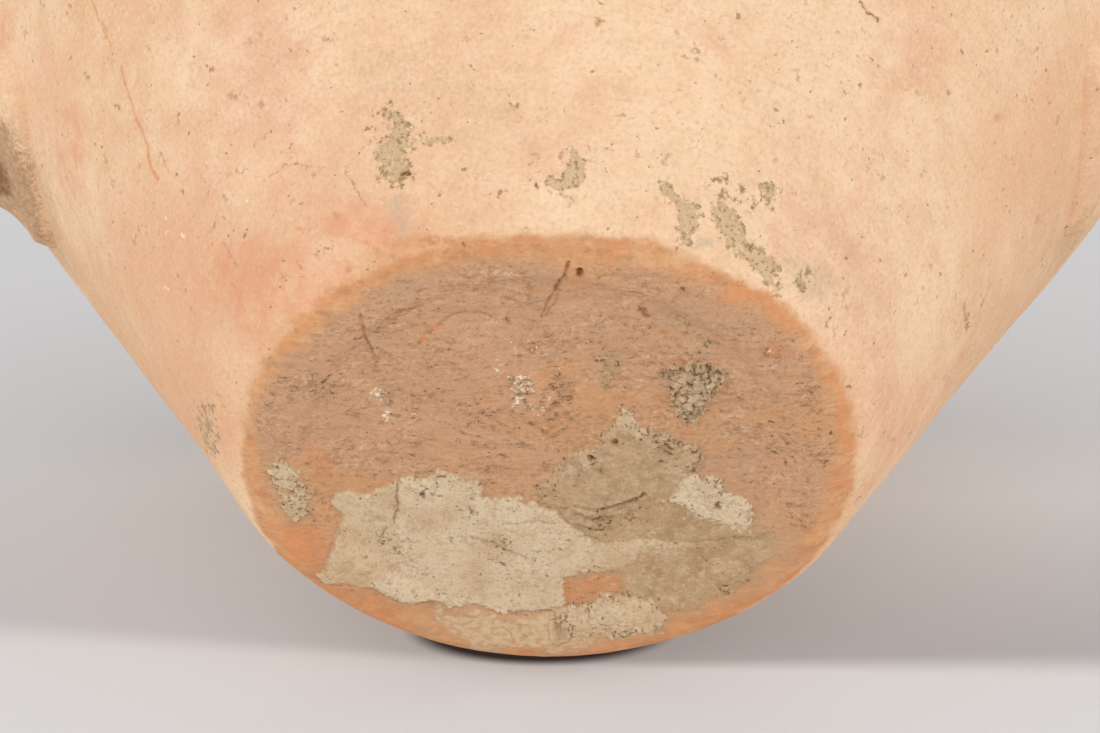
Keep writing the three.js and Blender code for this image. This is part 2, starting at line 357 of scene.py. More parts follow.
STAIN_AND_SHADE_PATCHES = [
    # outline, mark, strength, height that it adds, softness in pixels
    ([(384, 112), (398, 110), (406, 122), (412, 140), (404, 158), (410, 168), (404, 184),
      (394, 176), (380, 160), (376, 148), (388, 138), (392, 124)], "olive", 1, 0.3, 6),
    ([(372, 110), (392, 104), (414, 112), (412, 176), (398, 190), (378, 178), (372, 150)],
      "olive", 0.5, 0.05, 10),
    ([(418, 136), (428, 134), (436, 139), (456, 139), (456, 145), (438, 145), (422, 144)],
      "olive", 0.9, 0.1, 3),
    ([(564, 184), (560, 172), (566, 156), (574, 150), (580, 158), (583, 172), (586, 182),
      (578, 186)], "olive", 1.2, 0.35, 3),
    ([(543, 178), (552, 174), (564, 180), (560, 188), (546, 186)], "olive", 1.2, 0.3, 3),
    ([(508, 98), (518, 96), (520, 112), (510, 114)], "olive", 0.6, 0.05, 5),
    ([(472, 140), (480, 136), (484, 148), (474, 152)], "cool", 0.4, 0, 4),
    ([(655, 182), (668, 184), (680, 194), (698, 202), (704, 216), (696, 230), (688, 240),
      (680, 246), (682, 214), (672, 202), (656, 196)], "olive", 1, 0.2, 6),
    ([(680, 206), (694, 206), (694, 244), (684, 246), (680, 230)], "olive", 1.1, 0.1, 5),
    ([(712, 206), (724, 204), (736, 210), (742, 226), (750, 240), (764, 246), (772, 262),
      (778, 290), (774, 300), (764, 280), (748, 258), (732, 250), (722, 236), (714, 222)],
      "olive", 1.1, 0.3, 7),
    ([(700, 176), (724, 172), (744, 186), (760, 196), (772, 184), (782, 196), (772, 214),
      (750, 208), (720, 200)], "olive", 0.5, 0.05, 8),
    ([(756, 186), (770, 182), (776, 196), (764, 204)], "olive", 0.8, 0.05, 5),
    ([(384, 190), (404, 194), (416, 216), (410, 240), (390, 236), (386, 214)], "cool", 0.8, 0, 14),
    ([(696, 236), (714, 236), (716, 250), (698, 250)], "cool", 0.95, 0.02, 7),
    ([(684, 250), (700, 250), (698, 262), (686, 262)], "cool", 0.8, 0.02, 7),
    ([(778, 258), (800, 256), (826, 264), (836, 284), (826, 302), (800, 304), (784, 290)],
      "cool", 0.75, 0.05, 16),
    ([(786, 268), (806, 266), (818, 280), (808, 296), (790, 290)], "olive", 0.45, 0.05, 8),
    ([(822, 196), (836, 198), (838, 206), (824, 206)], "cool", 0.6, 0, 4),
    ([(200, 398), (212, 402), (220, 426), (218, 456), (208, 452), (200, 428)],
      "olive", 0.62, 0.1, 6),
    ([(928, 208), (936, 212), (938, 228), (930, 230)], "cool", 0.5, 0, 5),
    ([(714, 118), (726, 122), (724, 132), (712, 128)], "cool", 0.5, 0, 4),
    ([(740, 60), (770, 64), (830, 130), (800, 170), (750, 120)], "cool", 0.25, 0, 24),
    ([(330, 40), (430, 30), (520, 80), (500, 150), (420, 150), (350, 120)], "cool", 0.42, 0, 46),
    ([(800, 200), (880, 210), (910, 300), (880, 350), (830, 300)], "cool", 0.36, 0, 36),
    # Painted shade: the next five patches darken the handle roots at the left and right edges, laid
    # as soil and dark marks
    ([(-20, 120), (4, 122), (22, 150), (40, 205), (52, 250), (40, 246), (20, 216), (-20, 205)],
      "soil", 1, 0, 9),
    ([(-20, 100), (30, 120), (60, 200), (80, 280), (60, 280), (20, 230), (-20, 215)],
      "soil", 0.55, 0, 16),
    ([(-10, 154), (10, 154), (16, 196), (-10, 200)], "dark", 0.8, 0, 10),
    ([(-20, 112), (10, 118), (30, 150), (46, 205), (60, 250), (44, 250), (18, 218), (-20, 205)],
      "dark", 0.52, 0, 12),
    ([(1050, 240), (1078, 214), (1100, 190), (1100, 220), (1072, 262), (1048, 280)],
      "soil", 0.5, 0, 9),
    ([(376, 104), (414, 104), (418, 184), (392, 196), (368, 156)], "torn", 0.9, 0, 8),
    ([(566, 160), (584, 160), (586, 184), (562, 186)], "torn", 0.5, 0, 4),
    ([(652, 176), (706, 184), (700, 250), (672, 240)], "torn", 0.7, 0, 8),
    ([(708, 196), (742, 196), (790, 250), (800, 306), (770, 310), (712, 250)], "torn", 1.1, 0, 10),
    ([(690, 158), (790, 150), (800, 220), (720, 200)], "torn", 0.55, 0, 14),
    ([(200, 220), (330, 230), (440, 232), (400, 262), (300, 320), (210, 330)], "torn", 0.6, 0, 20),
    ([(250, 352), (300, 300), (352, 268), (430, 244), (436, 254), (360, 280), (306, 320),
      (262, 362)], "torn", 0.9, 0, 8),
    ([(256, 352), (300, 306), (356, 270), (430, 246), (434, 252), (362, 280), (308, 318),
      (264, 360)], "bare", 0.3, 0, 6),
    ([(452, 232), (480, 232), (480, 252), (452, 252)], "torn", 0.9, 0, 5),
    ([(560, 60), (900, 60), (900, 180), (700, 160)], "torn", 0.2, 0, 30),
    ([(344, 276), (352, 256), (376, 243), (412, 234), (454, 232), (460, 246), (410, 254),
      (366, 274)], "heel", 0.52, 0, 6),
    ([(186, 392), (214, 396), (226, 430), (222, 462), (200, 456), (184, 424)], "cool", 0.4, 0, 12),
]

BLUSH_PATCHES = [
    # outline, strength, softness in pixels
    ([(196, 236), (250, 226), (330, 236), (392, 206), (440, 232), (470, 246), (400, 258),
      (330, 300), (262, 352), (214, 330), (192, 280)], 0.8, 34),
    ([(340, 214), (392, 206), (420, 244), (372, 274), (330, 256)], 0.45, 20),
    ([(58, 92), (84, 96), (88, 150), (78, 196), (62, 170)], 0.7, 14),
    ([(120, 200), (200, 190), (240, 330), (190, 380), (130, 290)], 0.5, 40),
    ([(150, 356), (205, 340), (250, 420), (244, 470), (190, 450)], 0.5, 26),
    ([(556, 22), (584, 24), (548, 66), (536, 60)], 0.45, 8),
    ([(0, 0), (20, 0), (12, 40), (0, 46)], 0.6, 10),
    ([(960, 140), (1060, 60), (1080, 180), (980, 240)], 0.25, 40),
    ([(256, 140), (320, 146), (366, 196), (360, 262), (306, 268), (262, 224)], 0.55, 30),
    ([(30, 40), (76, 44), (84, 130), (52, 160), (24, 120)], 0.4, 24),
    ([(318, 216), (352, 198), (392, 200), (402, 222), (454, 232), (454, 248), (404, 262),
      (352, 270), (320, 252)], 0.8, 22),
]

WALL_SCRATCHES = [
    # path, width in pixels, mark, strength, depth
    ([(92, 0), (102, 22), (112, 45)], 2.2, "bare", 0.7, 0.15),
    ([(121, 66), (130, 102), (148, 150), (158, 178)], 2.4, "bare", 0.9, 0.2),
    ([(260, 53), (284, 62), (310, 75)], 1.6, "dark", 0.5, 0.12),
    ([(263, 180), (285, 165), (325, 165)], 1.7, "dark", 0.65, 0.15),
    ([(285, 165), (292, 157), (298, 152)], 1.5, "dark", 0.55, 0.12),
    ([(345, 170), (356, 188), (367, 205)], 1.8, "dark", 0.7, 0.18),
    ([(346, 168), (358, 156), (367, 140)], 1.5, "dark", 0.5, 0.12),
    ([(222, 240), (228, 252), (237, 268)], 2.2, "dark", 0.6, 0.2),
    ([(860, 2), (872, 12), (880, 18)], 3.4, "dark", 0.8, 0.5),
    ([(596, 19), (606, 21)], 5, "dark", 0.6, 0.3),
    ([(964, 306), (966, 328)], 4, "olive", 0.8, 0.2),
    ([(836, 70), (842, 92)], 2, "olive", 0.5, 0.1),
    ([(881, 146), (884, 160)], 2.6, "dark", 0.5, 0.2),
    ([(182, 112), (178, 124)], 4, "dark", 0.6, 0.3),
    ([(1049, 98), (1052, 108)], 2.4, "dark", 0.4, 0.2),
]

WALL_PITS = [
    # x, y, radius in pixels, mark, strength, depth
    (88, 73, 3.2, "dark", 0.7, 0.3), (114, 106, 3.4, "dark", 0.8, 0.4),
    (177, 174, 2.8, "dark", 0.6, 0.3), (182, 190, 3, "dark", 0.6, 0.3),
    (406, 172, 4.2, "dark", 0.9, 0.6), (537, 184, 4.4, "dark", 0.8, 0.5),
    (524, 227, 3.4, "dark", 0.7, 0.4), (836, 34, 3, "dark", 0.6, 0.3),
    (862, 85, 3.4, "dark", 0.6, 0.3), (915, 65, 3, "dark", 0.5, 0.3),
    (948, 92, 4.2, "dark", 0.7, 0.4), (997, 118, 6, "bare", 0.6, 0.2),
    (1052, 103, 4, "dark", 0.5, 0.3), (883, 178, 3.6, "dark", 0.5, 0.3),
    (810, 115, 3.2, "dark", 0.5, 0.3), (831, 122, 2.8, "dark", 0.5, 0.2),
    (764, 62, 3, "olive", 0.6, 0.1), (748, 243, 4, "dark", 0.6, 0.4),
    (744, 100, 3, "dark", 0.5, 0.2), (652, 110, 2.6, "bare", 0.5, 0.1),
    (300, 228, 3, "bare", 0.6, 0.1), (166, 219, 2, "chalk", 0.9, 0), (167, 232, 2, "chalk", 0.9, 0),
    (183, 234, 2, "chalk", 0.9, 0), (248, 200, 2.2, "chalk", 0.9, 0),
    (168, 287, 2.4, "chalk", 0.8, 0), (196, 360, 5, "chalk", 0.4, 0),
    (430, 243, 4.5, "bare", 0.8, 0.1), (446, 240, 4, "bare", 0.8, 0.1),
    (462, 244, 3, "dark", 0.6, 0.3), (620, 248, 3, "dark", 0.5, 0.3),
    (775, 276, 3, "dark", 0.6, 0.3), (800, 240, 2.6, "dark", 0.5, 0.2),
    (598, 22, 3.5, "dark", 0.6, 0.4), (504, 104, 2.6, "dark", 0.5, 0.2),
    (700, 100, 2.4, "dark", 0.5, 0.2),
]

BASE_SCRATCHES_AND_SHADOW_LINES = [
    # path, width in pixels, mark, strength, depth
    ([(568, 263), (562, 276), (555, 290)], 4.2, "dark", 0.58, 0.7),
    ([(555, 290), (549, 303), (541, 318)], 2.4, "dark", 0.5, 0.45),
    ([(560, 292), (555, 304), (546, 317)], 2, "dark", 0.4, 0.3),
    ([(421, 343), (428, 332), (440, 325)], 4.6, "bare", 0.8, 0.25),
    ([(438, 326), (450, 317), (464, 314), (478, 314), (491, 319)], 2.4, "dark", 0.35, 0.35),
    ([(361, 315), (364, 334), (371, 350), (377, 366)], 2.6, "bare", 0.5, 0.45),
    ([(359, 315), (362, 334), (369, 351), (375, 367)], 1.6, "dark", 0.2, 0.1),
    ([(388, 392), (391, 404), (390, 414)], 2, "dark", 0.5, 0.2),
    ([(380, 394), (384, 402), (384, 412)], 1.8, "dark", 0.4, 0.2),
    ([(640, 308), (648, 318)], 4.4, "dark", 0.6, 0.4),
    ([(690, 322), (686, 338)], 2.6, "dark", 0.45, 0.25),
    ([(668, 310), (660, 300), (676, 306)], 2.2, "dark", 0.3, 0.15),
    ([(560, 330), (586, 335)], 2.2, "dark", 0.25, 0.15),
    ([(795, 395), (812, 391)], 2.4, "dark", 0.45, 0.25),
    ([(735, 378), (744, 384), (756, 382)], 2.4, "dark", 0.35, 0.2),
    # Painted shadow: these strokes lay thin dark lines along the lower and left edges of the main
    # soil crust, with a shallow groove
    ([(316, 577), (319, 582), (342, 584), (362, 585), (384, 591)], 3, "dark", 0.75, 0.4),
    ([(384, 591), (397, 594), (400, 601), (416, 603), (452, 603), (462, 606)],
      3, "dark", 0.75, 0.4),
    ([(480, 609), (516, 613), (560, 612)], 2.4, "dark", 0.45, 0.3),
    ([(339, 522), (334, 540), (329, 558), (316, 576)], 2.6, "dark", 0.6, 0.3),
    ([(621, 577), (622, 590), (604, 594)], 2.4, "dark", 0.45, 0.3),
    ([(562, 574), (580, 572), (604, 574), (621, 577)], 2.4, "dark", 0.5, 0.3),
    ([(548, 624), (557, 620), (567, 624), (574, 634), (569, 643), (556, 645), (549, 637),
      (548, 624)], 2.2, "dark", 0.6, 0.2),
    ([(494, 630), (502, 627), (511, 631), (514, 637), (510, 645), (502, 648), (494, 644),
      (491, 637), (494, 630)], 2, "dark", 0.5, 0.2),
    ([(524, 632), (531, 640), (525, 646)], 2, "dark", 0.45, 0.2),
    ([(434, 622), (438, 614), (442, 620)], 2, "dark", 0.5, 0.2),
]

BASE_PITS = [
    # x, y, radius in pixels, mark, strength, depth
    (579, 272, 6, "dark", 0.85, 1.1), (682, 290, 3.6, "dark", 0.7, 0.5),
    (643, 311, 4, "dark", 0.6, 0.4), (508, 321, 3, "dark", 0.7, 0.4),
    (420, 342, 2.6, "dark", 0.5, 0.2), (361, 372, 2.6, "dark", 0.5, 0.3),
    (770, 350, 9, "bare", 0.9, 0.35), (782, 352, 6, "bare", 0.7, 0.3),
    (830, 433, 2.4, "dark", 0.8, 0.3), (553, 372, 5, "cool", 0.7, 0), (292, 385, 3, "cool", 0.6, 0),
    (600, 365, 10, "olive", 0.4, -0.1), (700, 341, 4, "dark", 0.4, 0.2),
    (449, 377, 6, "dark", 0.3, 0.1), (375, 478, 5, "dark", 0.5, 0.3),
    (297, 390, 3, "dark", 0.5, 0.2), (252, 405, 3, "dark", 0.5, 0.2),
    (690, 345, 3, "bare", 0.5, 0.1), (806, 376, 3.4, "dark", 0.4, 0.2),
    (545, 395, 5, "dark", 0.5, 0.3),
]

BASE_PATCHES = [
    # outline, mark, strength, height that it adds
    ([(500, 360), (560, 350), (580, 400), (560, 440), (500, 436), (470, 400)], "bare", 0.1, 0),
    ([(430, 430), (500, 440), (540, 470), (520, 500), (440, 470)], "bare", 0.15, 0),
    ([(302, 440), (330, 455), (340, 480), (310, 470)], "bare", 0.6, 0),
    ([(282, 528), (322, 528), (326, 560), (310, 572), (284, 548)], "bare", 0.85, 0),
    ([(562, 574), (622, 574), (620, 598), (588, 608), (562, 606)], "bare", 0.4, 0),
    ([(720, 490), (780, 506), (812, 550), (780, 590), (700, 624), (640, 600), (690, 540)],
      "soil", 0.55, 0),
    ([(440, 606), (520, 612), (600, 606), (670, 610), (650, 636), (560, 652), (480, 648),
      (430, 624)], "soil", 1.2, 0.05),
    ([(549, 625), (558, 621), (568, 626), (573, 634), (568, 643), (556, 644)], "dark", 0.55, -0.1),
    ([(458, 620), (480, 616), (496, 622), (490, 630), (470, 630)], "bare", 0.8, 0),
    ([(390, 600), (520, 606), (700, 600), (690, 626), (560, 658), (440, 650), (390, 620)],
      "soil", 0.5, 0),
    ([(600, 640), (700, 604), (790, 564), (800, 585), (720, 625), (620, 648)], "bare", 0.35, 0),
    ([(724, 284), (785, 306), (806, 330), (790, 330), (756, 306), (720, 298)], "bare", 0.7, 0),
    ([(828, 356), (850, 400), (856, 450), (842, 450), (836, 404)], "bare", 0.6, 0),
    ([(300, 560), (340, 584), (420, 606), (400, 630), (330, 600)], "bare", 0.5, 0),
]

TORN_CLUSTERS = [
    # x, y, radius in pixels, strength
    (316, 384, 22, 1), (386, 397, 14, 0.9), (336, 384, 16, 0.6), (524, 388, 24, 1),
    (556, 370, 14, 0.9), (560, 392, 22, 0.9), (552, 412, 18, 0.9), (512, 340, 14, 0.5),
    (600, 335, 22, 0.5), (640, 332, 18, 0.5), (700, 345, 26, 0.6), (770, 352, 18, 0.8),
    (810, 395, 26, 0.7), (820, 450, 24, 0.6), (780, 440, 26, 0.5), (420, 400, 24, 0.5),
    (470, 420, 26, 0.5), (430, 352, 16, 0.6), (296, 388, 12, 0.7), (360, 410, 18, 0.6),
    (268, 408, 12, 0.8), (740, 330, 18, 0.5), (800, 520, 24, 0.5), (610, 380, 14, 0.4),
    (455, 375, 20, 0.4),
]

CHALKY_CLUSTERS = [
    (378, 396, 17, 1.2), (388, 414, 12, 1.3), (524, 384, 26, 1.2), (520, 402, 14, 1.2),
    (556, 369, 14, 1.1), (536, 408, 18, 0.9), (416, 410, 8, 0.9), (500, 366, 18, 0.9),
    (540, 352, 14, 0.8), (770, 350, 14, 0.8), (770, 420, 14, 0.6), (344, 400, 12, 0.6),
    (548, 388, 22, 0.9), (512, 344, 14, 0.7),
]

SCRAPED_FACE = [
    (550, 262), (464, 261), (391, 275), (362, 297), (328, 316), (307, 340), (277, 363), (260, 383),
    (253, 414), (257, 445), (263, 480), (270, 505), (284, 528), (308, 545), (318, 582), (345, 594),
    (400, 606), (480, 616), (560, 628), (640, 624), (700, 608), (756, 584), (798, 545), (826, 500),
    (838, 450), (836, 410), (828, 385), (810, 352), (782, 320), (752, 303), (718, 288), (660, 270),
    (600, 262),
]

# Layers of hardened soil: outline, thickness, paleness, roughness, softness of the edge in pixels

MAIN_CRUST = [
    ([(329, 504), (337, 495), (351, 491), (368, 493), (397, 484), (404, 500), (402, 540),
      (392, 565), (374, 592), (342, 584), (319, 580), (315, 572), (327, 563), (331, 549),
      (335, 531), (341, 517)], 0.5, 0.5, 0.2, 4),
    ([(397, 484), (410, 477), (440, 472), (475, 480), (490, 498), (520, 502), (535, 502),
      (556, 510), (575, 530), (566, 548), (566, 572), (566, 600), (563, 609), (516, 611),
      (478, 607), (452, 604), (431, 602), (399, 600), (385, 593), (366, 587), (384, 570),
      (396, 540)], 0.9, 0.85, 0.5, 5),
    ([(536, 496), (541, 485), (548, 470), (575, 455), (590, 445), (612, 424), (622, 428),
      (640, 432), (665, 432), (690, 444), (698, 458), (688, 480), (668, 504), (640, 514),
      (600, 514), (570, 512), (548, 508)], 0.6, 0.25, 0.9, 7),
    ([(610, 436), (612, 414), (620, 403), (632, 408), (640, 424), (652, 434), (636, 446)],
      0.5, 0.6, 1.3, 5),
    ([(640, 430), (665, 430), (692, 440), (704, 462), (692, 476), (668, 462), (640, 446)],
      0.6, 0.3, 1.5, 6),
    ([(674, 476), (694, 472), (712, 474), (730, 488), (748, 502), (756, 522), (740, 532),
      (712, 526), (690, 514), (668, 502)], 0.8, 0.9, 0.8, 5),
    ([(548, 506), (600, 500), (668, 498), (704, 514), (750, 520), (776, 536), (778, 556),
      (750, 582), (714, 602), (680, 614), (648, 612), (622, 602), (620, 578), (591, 574),
      (564, 577), (552, 545)], 0.4, 0.22, 0.2, 14),
    ([(552, 522), (580, 536), (612, 534), (650, 530), (684, 536), (690, 548), (656, 554),
      (634, 566), (612, 572), (566, 573), (556, 545)], 0.65, 0.75, 0.5, 9),
    ([(540, 512), (566, 516), (592, 534), (606, 552), (594, 571), (566, 573), (540, 566)],
      0.8, 0.85, 0.4, 9),
    ([(590, 606), (600, 594), (620, 588), (642, 588), (656, 600), (668, 612), (660, 628),
      (640, 636), (606, 640), (575, 636), (556, 624), (560, 610)], 0.55, 0.7, 1.1, 5),
]

LUMP_CRUST = [
    ([(662, 374), (676, 363), (694, 360), (712, 367), (728, 372), (716, 388), (712, 402),
      (702, 420), (686, 422), (674, 404), (664, 390)], 1.1, 0.35, 2.2, 7),
]

SMALL_CRUST = [
    ([(588, 356), (602, 346), (620, 350), (626, 364), (616, 382), (606, 386), (598, 372)],
      0.25, 0.1, 1.5, 10),
]

SIDE_CRUST = [
    ([(268, 468), (280, 460), (296, 468), (300, 482), (292, 490), (274, 486)], 0.6, 0.6, 1.1, 5),
    ([(280, 490), (300, 480), (312, 484), (312, 506), (300, 524), (286, 520), (278, 504)],
      0.5, 0.4, 1.1, 7),
]

EDGE_CRUST = [
    ([(548, 606), (570, 602), (592, 606), (590, 618), (568, 621), (552, 616)], 0.5, 0.6, 0.8, 4),
]

# Cracks, holes and crumbly places of the soil, given as for the clay; the dark in the cracks and
# holes is painted shade

CRUST_STROKES = [
    ([(576, 506), (592, 509), (608, 508), (622, 503), (645, 493)], 2.4, "dark", 0.9, 0.5),
    ([(696, 538), (720, 536), (764, 534)], 1.5, "dark", 0.4, 0.15),
    ([(640, 547), (672, 541), (696, 538)], 1.8, "dark", 0.35, 0.15),
    ([(397, 482), (398, 500), (396, 522)], 2.2, "dark", 0.55, 0.3),
    ([(388, 526), (378, 540)], 2, "dark", 0.45, 0.3),
    ([(372, 500), (370, 520)], 1.6, "dark", 0.25, 0.15),
    ([(636, 546), (646, 545)], 3, "bare", 0.8, 0.1),
    ([(546, 504), (560, 512), (575, 530)], 1.6, "dark", 0.3, 0.15),
    ([(574, 514), (590, 517), (612, 516)], 4.5, "dark", 0.42, 0.15),
    ([(576, 526), (596, 528), (608, 525)], 4, "dark", 0.38, 0.15),
    ([(580, 534), (600, 536)], 3, "dark", 0.3, 0.1),
    ([(500, 521), (530, 519), (556, 522)], 2, "dark", 0.35, 0.15),
    ([(470, 536), (490, 540), (508, 548), (526, 556)], 2.4, "dark", 0.35, 0.2),
    ([(360, 572), (384, 566), (398, 560), (420, 566)], 1.6, "dark", 0.3, 0.2),
]

CRUST_PITS = [
    (629, 515, 4, "dark", 1, 0.6), (718, 503, 4, "dark", 1, 0.6), (732, 587, 5, "dark", 0.9, 0.5),
    (424, 491, 3, "dark", 0.9, 0.4), (484, 494, 3.2, "dark", 1, 0.5), (592, 457, 4, "dark", 1, 0.6),
    (615, 441, 4.5, "dark", 1, 0.6), (692, 384, 3.4, "dark", 1, 0.8),
    (675, 391, 3.2, "dark", 1, 0.7), (504, 562, 3.4, "dark", 0.8, 0.4),
    (396, 548, 3, "dark", 0.7, 0.3), (366, 556, 3, "dark", 0.5, 0.3),
    (560, 545, 3, "dark", 0.6, 0.3), (470, 512, 3, "dark", 0.5, 0.3),
    (700, 488, 3, "dark", 0.6, 0.3), (452, 540, 3, "dark", 0.4, 0.2),
    (600, 470, 3, "dark", 0.5, 0.3), (650, 468, 3, "dark", 0.5, 0.3),
]

CRUST_PITTED = [
    (428, 488, 24, 1), (470, 490, 18, 0.8), (470, 516, 16, 0.7), (500, 545, 26, 0.8),
    (542, 556, 22, 0.6), (620, 422, 20, 0.9), (664, 440, 26, 1.1), (590, 458, 18, 0.7),
    (600, 520, 24, 0.9), (702, 500, 12, 0.5), (722, 588, 18, 1), (742, 514, 14, 0.8),
    (390, 532, 16, 0.9), (374, 546, 12, 0.6), (556, 490, 16, 0.6), (600, 622, 16, 0.7),
    (690, 520, 14, 0.5), (640, 600, 14, 0.6),
]

# Pixels of the photograph to a millimetre of the base
PIXELS_PER_MM = 5.5

# The marks that each colour attribute of a skin carries
CHANNELS = {
    "marks": ("soil", "bare", "dark", "chalk"), "stains": ("olive", "cool", "heel", "blush"),
    "ground": ("face", "torn")}

# Past this many pixels from a mark, no point is looked at for it
NEAR_MARGIN = 12
# A point is seen when its normal leans towards the camera by more than this
GRAZING = 0.03
# How far the edges of marks wander and shiver in pixels, and over what length in millimetres
WANDER_PIXELS, WANDER_SIZE = 6.0, 4.0
SHIVER_PIXELS, SHIVER_SIZE = 2.2, 1.1
# How much of the wander, and of the shiver too, each kind of mark takes on
OUTLINE_SHAKE = 0.8
BLUSH_SHAKE = 2.0
BASE_PATCH_SHAKE = 1.4
STROKE_SHAKE = (0.35, 0.5)
DAB_SHAKE = (0.4, 1.2)
# Shares of a mark's size between which it fades out
STROKE_FADE = (0.25, 0.75)
DAB_FADE = (0.5, 1.1)
CLUSTER_FADE = (0.2, 1.0)
BASE_PATCH_SOFTNESS = 8.0


def outline_depth(x, y, outline):
    """Distance in pixels to the edge of a closed outline, positive inside it."""
    loop = np.array(outline, float)
    nearest = np.full(len(x), np.inf)
    inside = np.zeros(len(x), bool)
    for (ax, ay), (bx, by) in zip(loop, np.roll(loop, -1, axis=0)):
        nearest = np.minimum(nearest, segment_distance(x, y, ax, ay, bx, by))
        crosses = (ay > y) != (by > y)
        reach = ax + (y - ay) / (by - ay if by != ay else 1.0) * (bx - ax)
        inside ^= crosses & (x < reach)
    return np.where(inside, nearest, -nearest)


def segment_distance(x, y, ax, ay, bx, by):
    dx, dy = bx - ax, by - ay
    share = np.clip(((x - ax) * dx + (y - ay) * dy) / (dx * dx + dy * dy + TINY), 0, 1)
    return np.hypot(x - ax - share * dx, y - ay - share * dy)


def path_distance(x, y, path):
    return np.min([segment_distance(x, y, *a, *b) for a, b in zip(path, path[1:])], axis=0)


def faded(apart, size, near, far):
    """One close to a mark and nought far from it, measured in shares of its size."""
    return 1 - smooth_step(apart, near * size, far * size)


class Skin:
    """The points of a visible surface, the marks painted on them and the height that these add."""

    def __init__(self, points, normals):
        self.shape = points.shape[:-1]
        self.points = points.reshape(-1, 3)
        self.normals = normals.reshape(-1, 3)
        self.places = np.array(photo_place(self.points))
        ray = self.points - CAMERA_PLACE
        ray /= np.linalg.norm(ray, axis=1)[:, None]
        self.faces_camera = np.einsum("ij,ij->i", self.normals, ray) < -GRAZING
        self.height = np.zeros(len(self.points))
        names = [name for group in CHANNELS.values() for name in group]
        self.paint = {name: np.zeros(len(self.points)) for name in names}
        self.slip = np.full((len(self.points), 2), -SLIP_REACH)
        self.wander = WANDER_PIXELS * np.array([
            rough(self.points, WANDER_SIZE, SEED + step, 4) for step in (1, 2)])
        self.shiver = SHIVER_PIXELS * np.array([
            rough(self.points, SHIVER_SIZE, SEED + step, 2) for step in (6, 7)])

    def shaken(self, wander, shiver=0.0, at=slice(None)):
        """Pixel places of some points, shaken so that the edges of marks come out uneven."""
        return self.places[:, at] + wander * self.wander[:, at] + shiver * self.shiver[:, at]

    def near(self, places, margin):
        """The points that the camera sees near some pixel places."""
        low, high = (end(places, axis=0)[:, None] for end in (np.min, np.max))
        close = (self.places > low - margin) & (self.places < high + margin)
        return np.flatnonzero(close.all(axis=0) & self.faces_camera)

    def lay(self, at, name, strength, share, height):
        self.paint[name][at] = np.maximum(self.paint[name][at], strength * share)
        self.height[at] += height * share

    def patch(self, outline, name, strength, height, soft, ragged):
        at = self.near(outline, soft + NEAR_MARGIN)
        depth = outline_depth(*self.shaken(ragged, at=at), outline)
        self.lay(at, name, strength, smooth_step(depth, -soft, soft), height)

    def stroke(self, path, width, name, strength, depth):
        at = self.near(path, width + NEAR_MARGIN)
        apart = path_distance(*self.shaken(*STROKE_SHAKE, at), path)
        self.lay(at, name, strength, faded(apart, width, *STROKE_FADE), -depth)

    def dab(self, x, y, radius, name, strength, depth):
        at = self.near([(x, y)], radius + NEAR_MARGIN)
        across, down = self.shaken(*DAB_SHAKE, at)
        apart = np.hypot(across - x, down - y)
        self.lay(at, name, strength, faded(apart, radius, *DAB_FADE), -depth)

    def draw(self, strokes, dabs):
        for stroke in strokes:
            self.stroke(*stroke)
        for dab in dabs:
            self.dab(*dab)

    def near_share(self, x, y, radius):
        """How near each point is to a pixel place, fading out over a radius."""
        across, down = self.shaken(OUTLINE_SHAKE)
        apart = np.hypot(across - x, down - y)
        return self.faces_camera * faded(apart, radius, *CLUSTER_FADE)


# Slip painting on the shoulder, neck and mouth: traditional bands, roundels, lattice and saw teeth

SLIP_REACH = 4.0
# How far the hand strayed from true bands and rings, and over what length
BAND_WOBBLE, BAND_WOBBLE_SIZE = 0.5, 22.0
RING_WOBBLE, RING_WOBBLE_SIZE = 0.6, 14.0
# Heights of the bands and half their widths
BROWN_BANDS = [(170.0, 3.2), (181.0, 1.4), (287.0, 2.6)]
RED_BANDS = [(175.8, 1.9), (280.5, 2.2)]
FESTOON_HEIGHT = 163.0
FESTOON_DROP = 7.0
FESTOON_COUNT = 24
FESTOON_HALF_WIDTH = 1.3
FESTOON_POWER = 1.4
# The register is the field of the shoulder between two rows of saw teeth
REGISTER_HEIGHTS = (184.0, 276.0)
TOOTH_PITCH = 11.0
TOOTH_HEIGHT = 7.5
ROUNDEL_COUNT = 4
ROUNDEL_RADIUS = 47.0
ROUNDEL_HEIGHT = 233.0
# Radius of each ring of a roundel as a share of the whole, and half its width
OUTER_RING = (1.0, 2.4)
INNER_RING = (0.66, 1.6)
RED_RING = (0.84, 2.6)
LATTICE_RADIUS_SHARE = 0.64
LATTICE_PITCH = 11.0
LATTICE_LINE = 1.1
DIAGONAL = 1.414
PILLAR_OFFSET = 13.0
PILLAR_HALF_WIDTH = 2.0
PILLAR_MARGIN = 9.0
HOURGLASS_MARGIN = 10.0
HOURGLASS_WAIST = 1.5
HOURGLASS_FLARE = 0.24
HOURGLASS_DROP = 4.0
ZIGZAG_COUNT = 14
ZIGZAG_FOOT = 9.0
ZIGZAG_HEIGHT = 13.0
NECK_BAND_RISE = 27.0
NECK_LINE = 1.5
LIP_TICK_COUNT = 24
LIP_TICK_SIZE = 9.0
LIP_WIDTH = 4.0
LIP_BAND = 6.5


def around(points):
    """Distance from the jar's axis, and the angle round it from the side that lies to the front."""
    return np.hypot(points[:, 0], points[:, 1]), np.arctan2(points[:, 0], -points[:, 1])


def triangle_wave(value):
    """Rises and falls between 0 and 1 once for each whole number."""
    return 1 - np.abs(2 * (value - np.floor(value)) - 1)


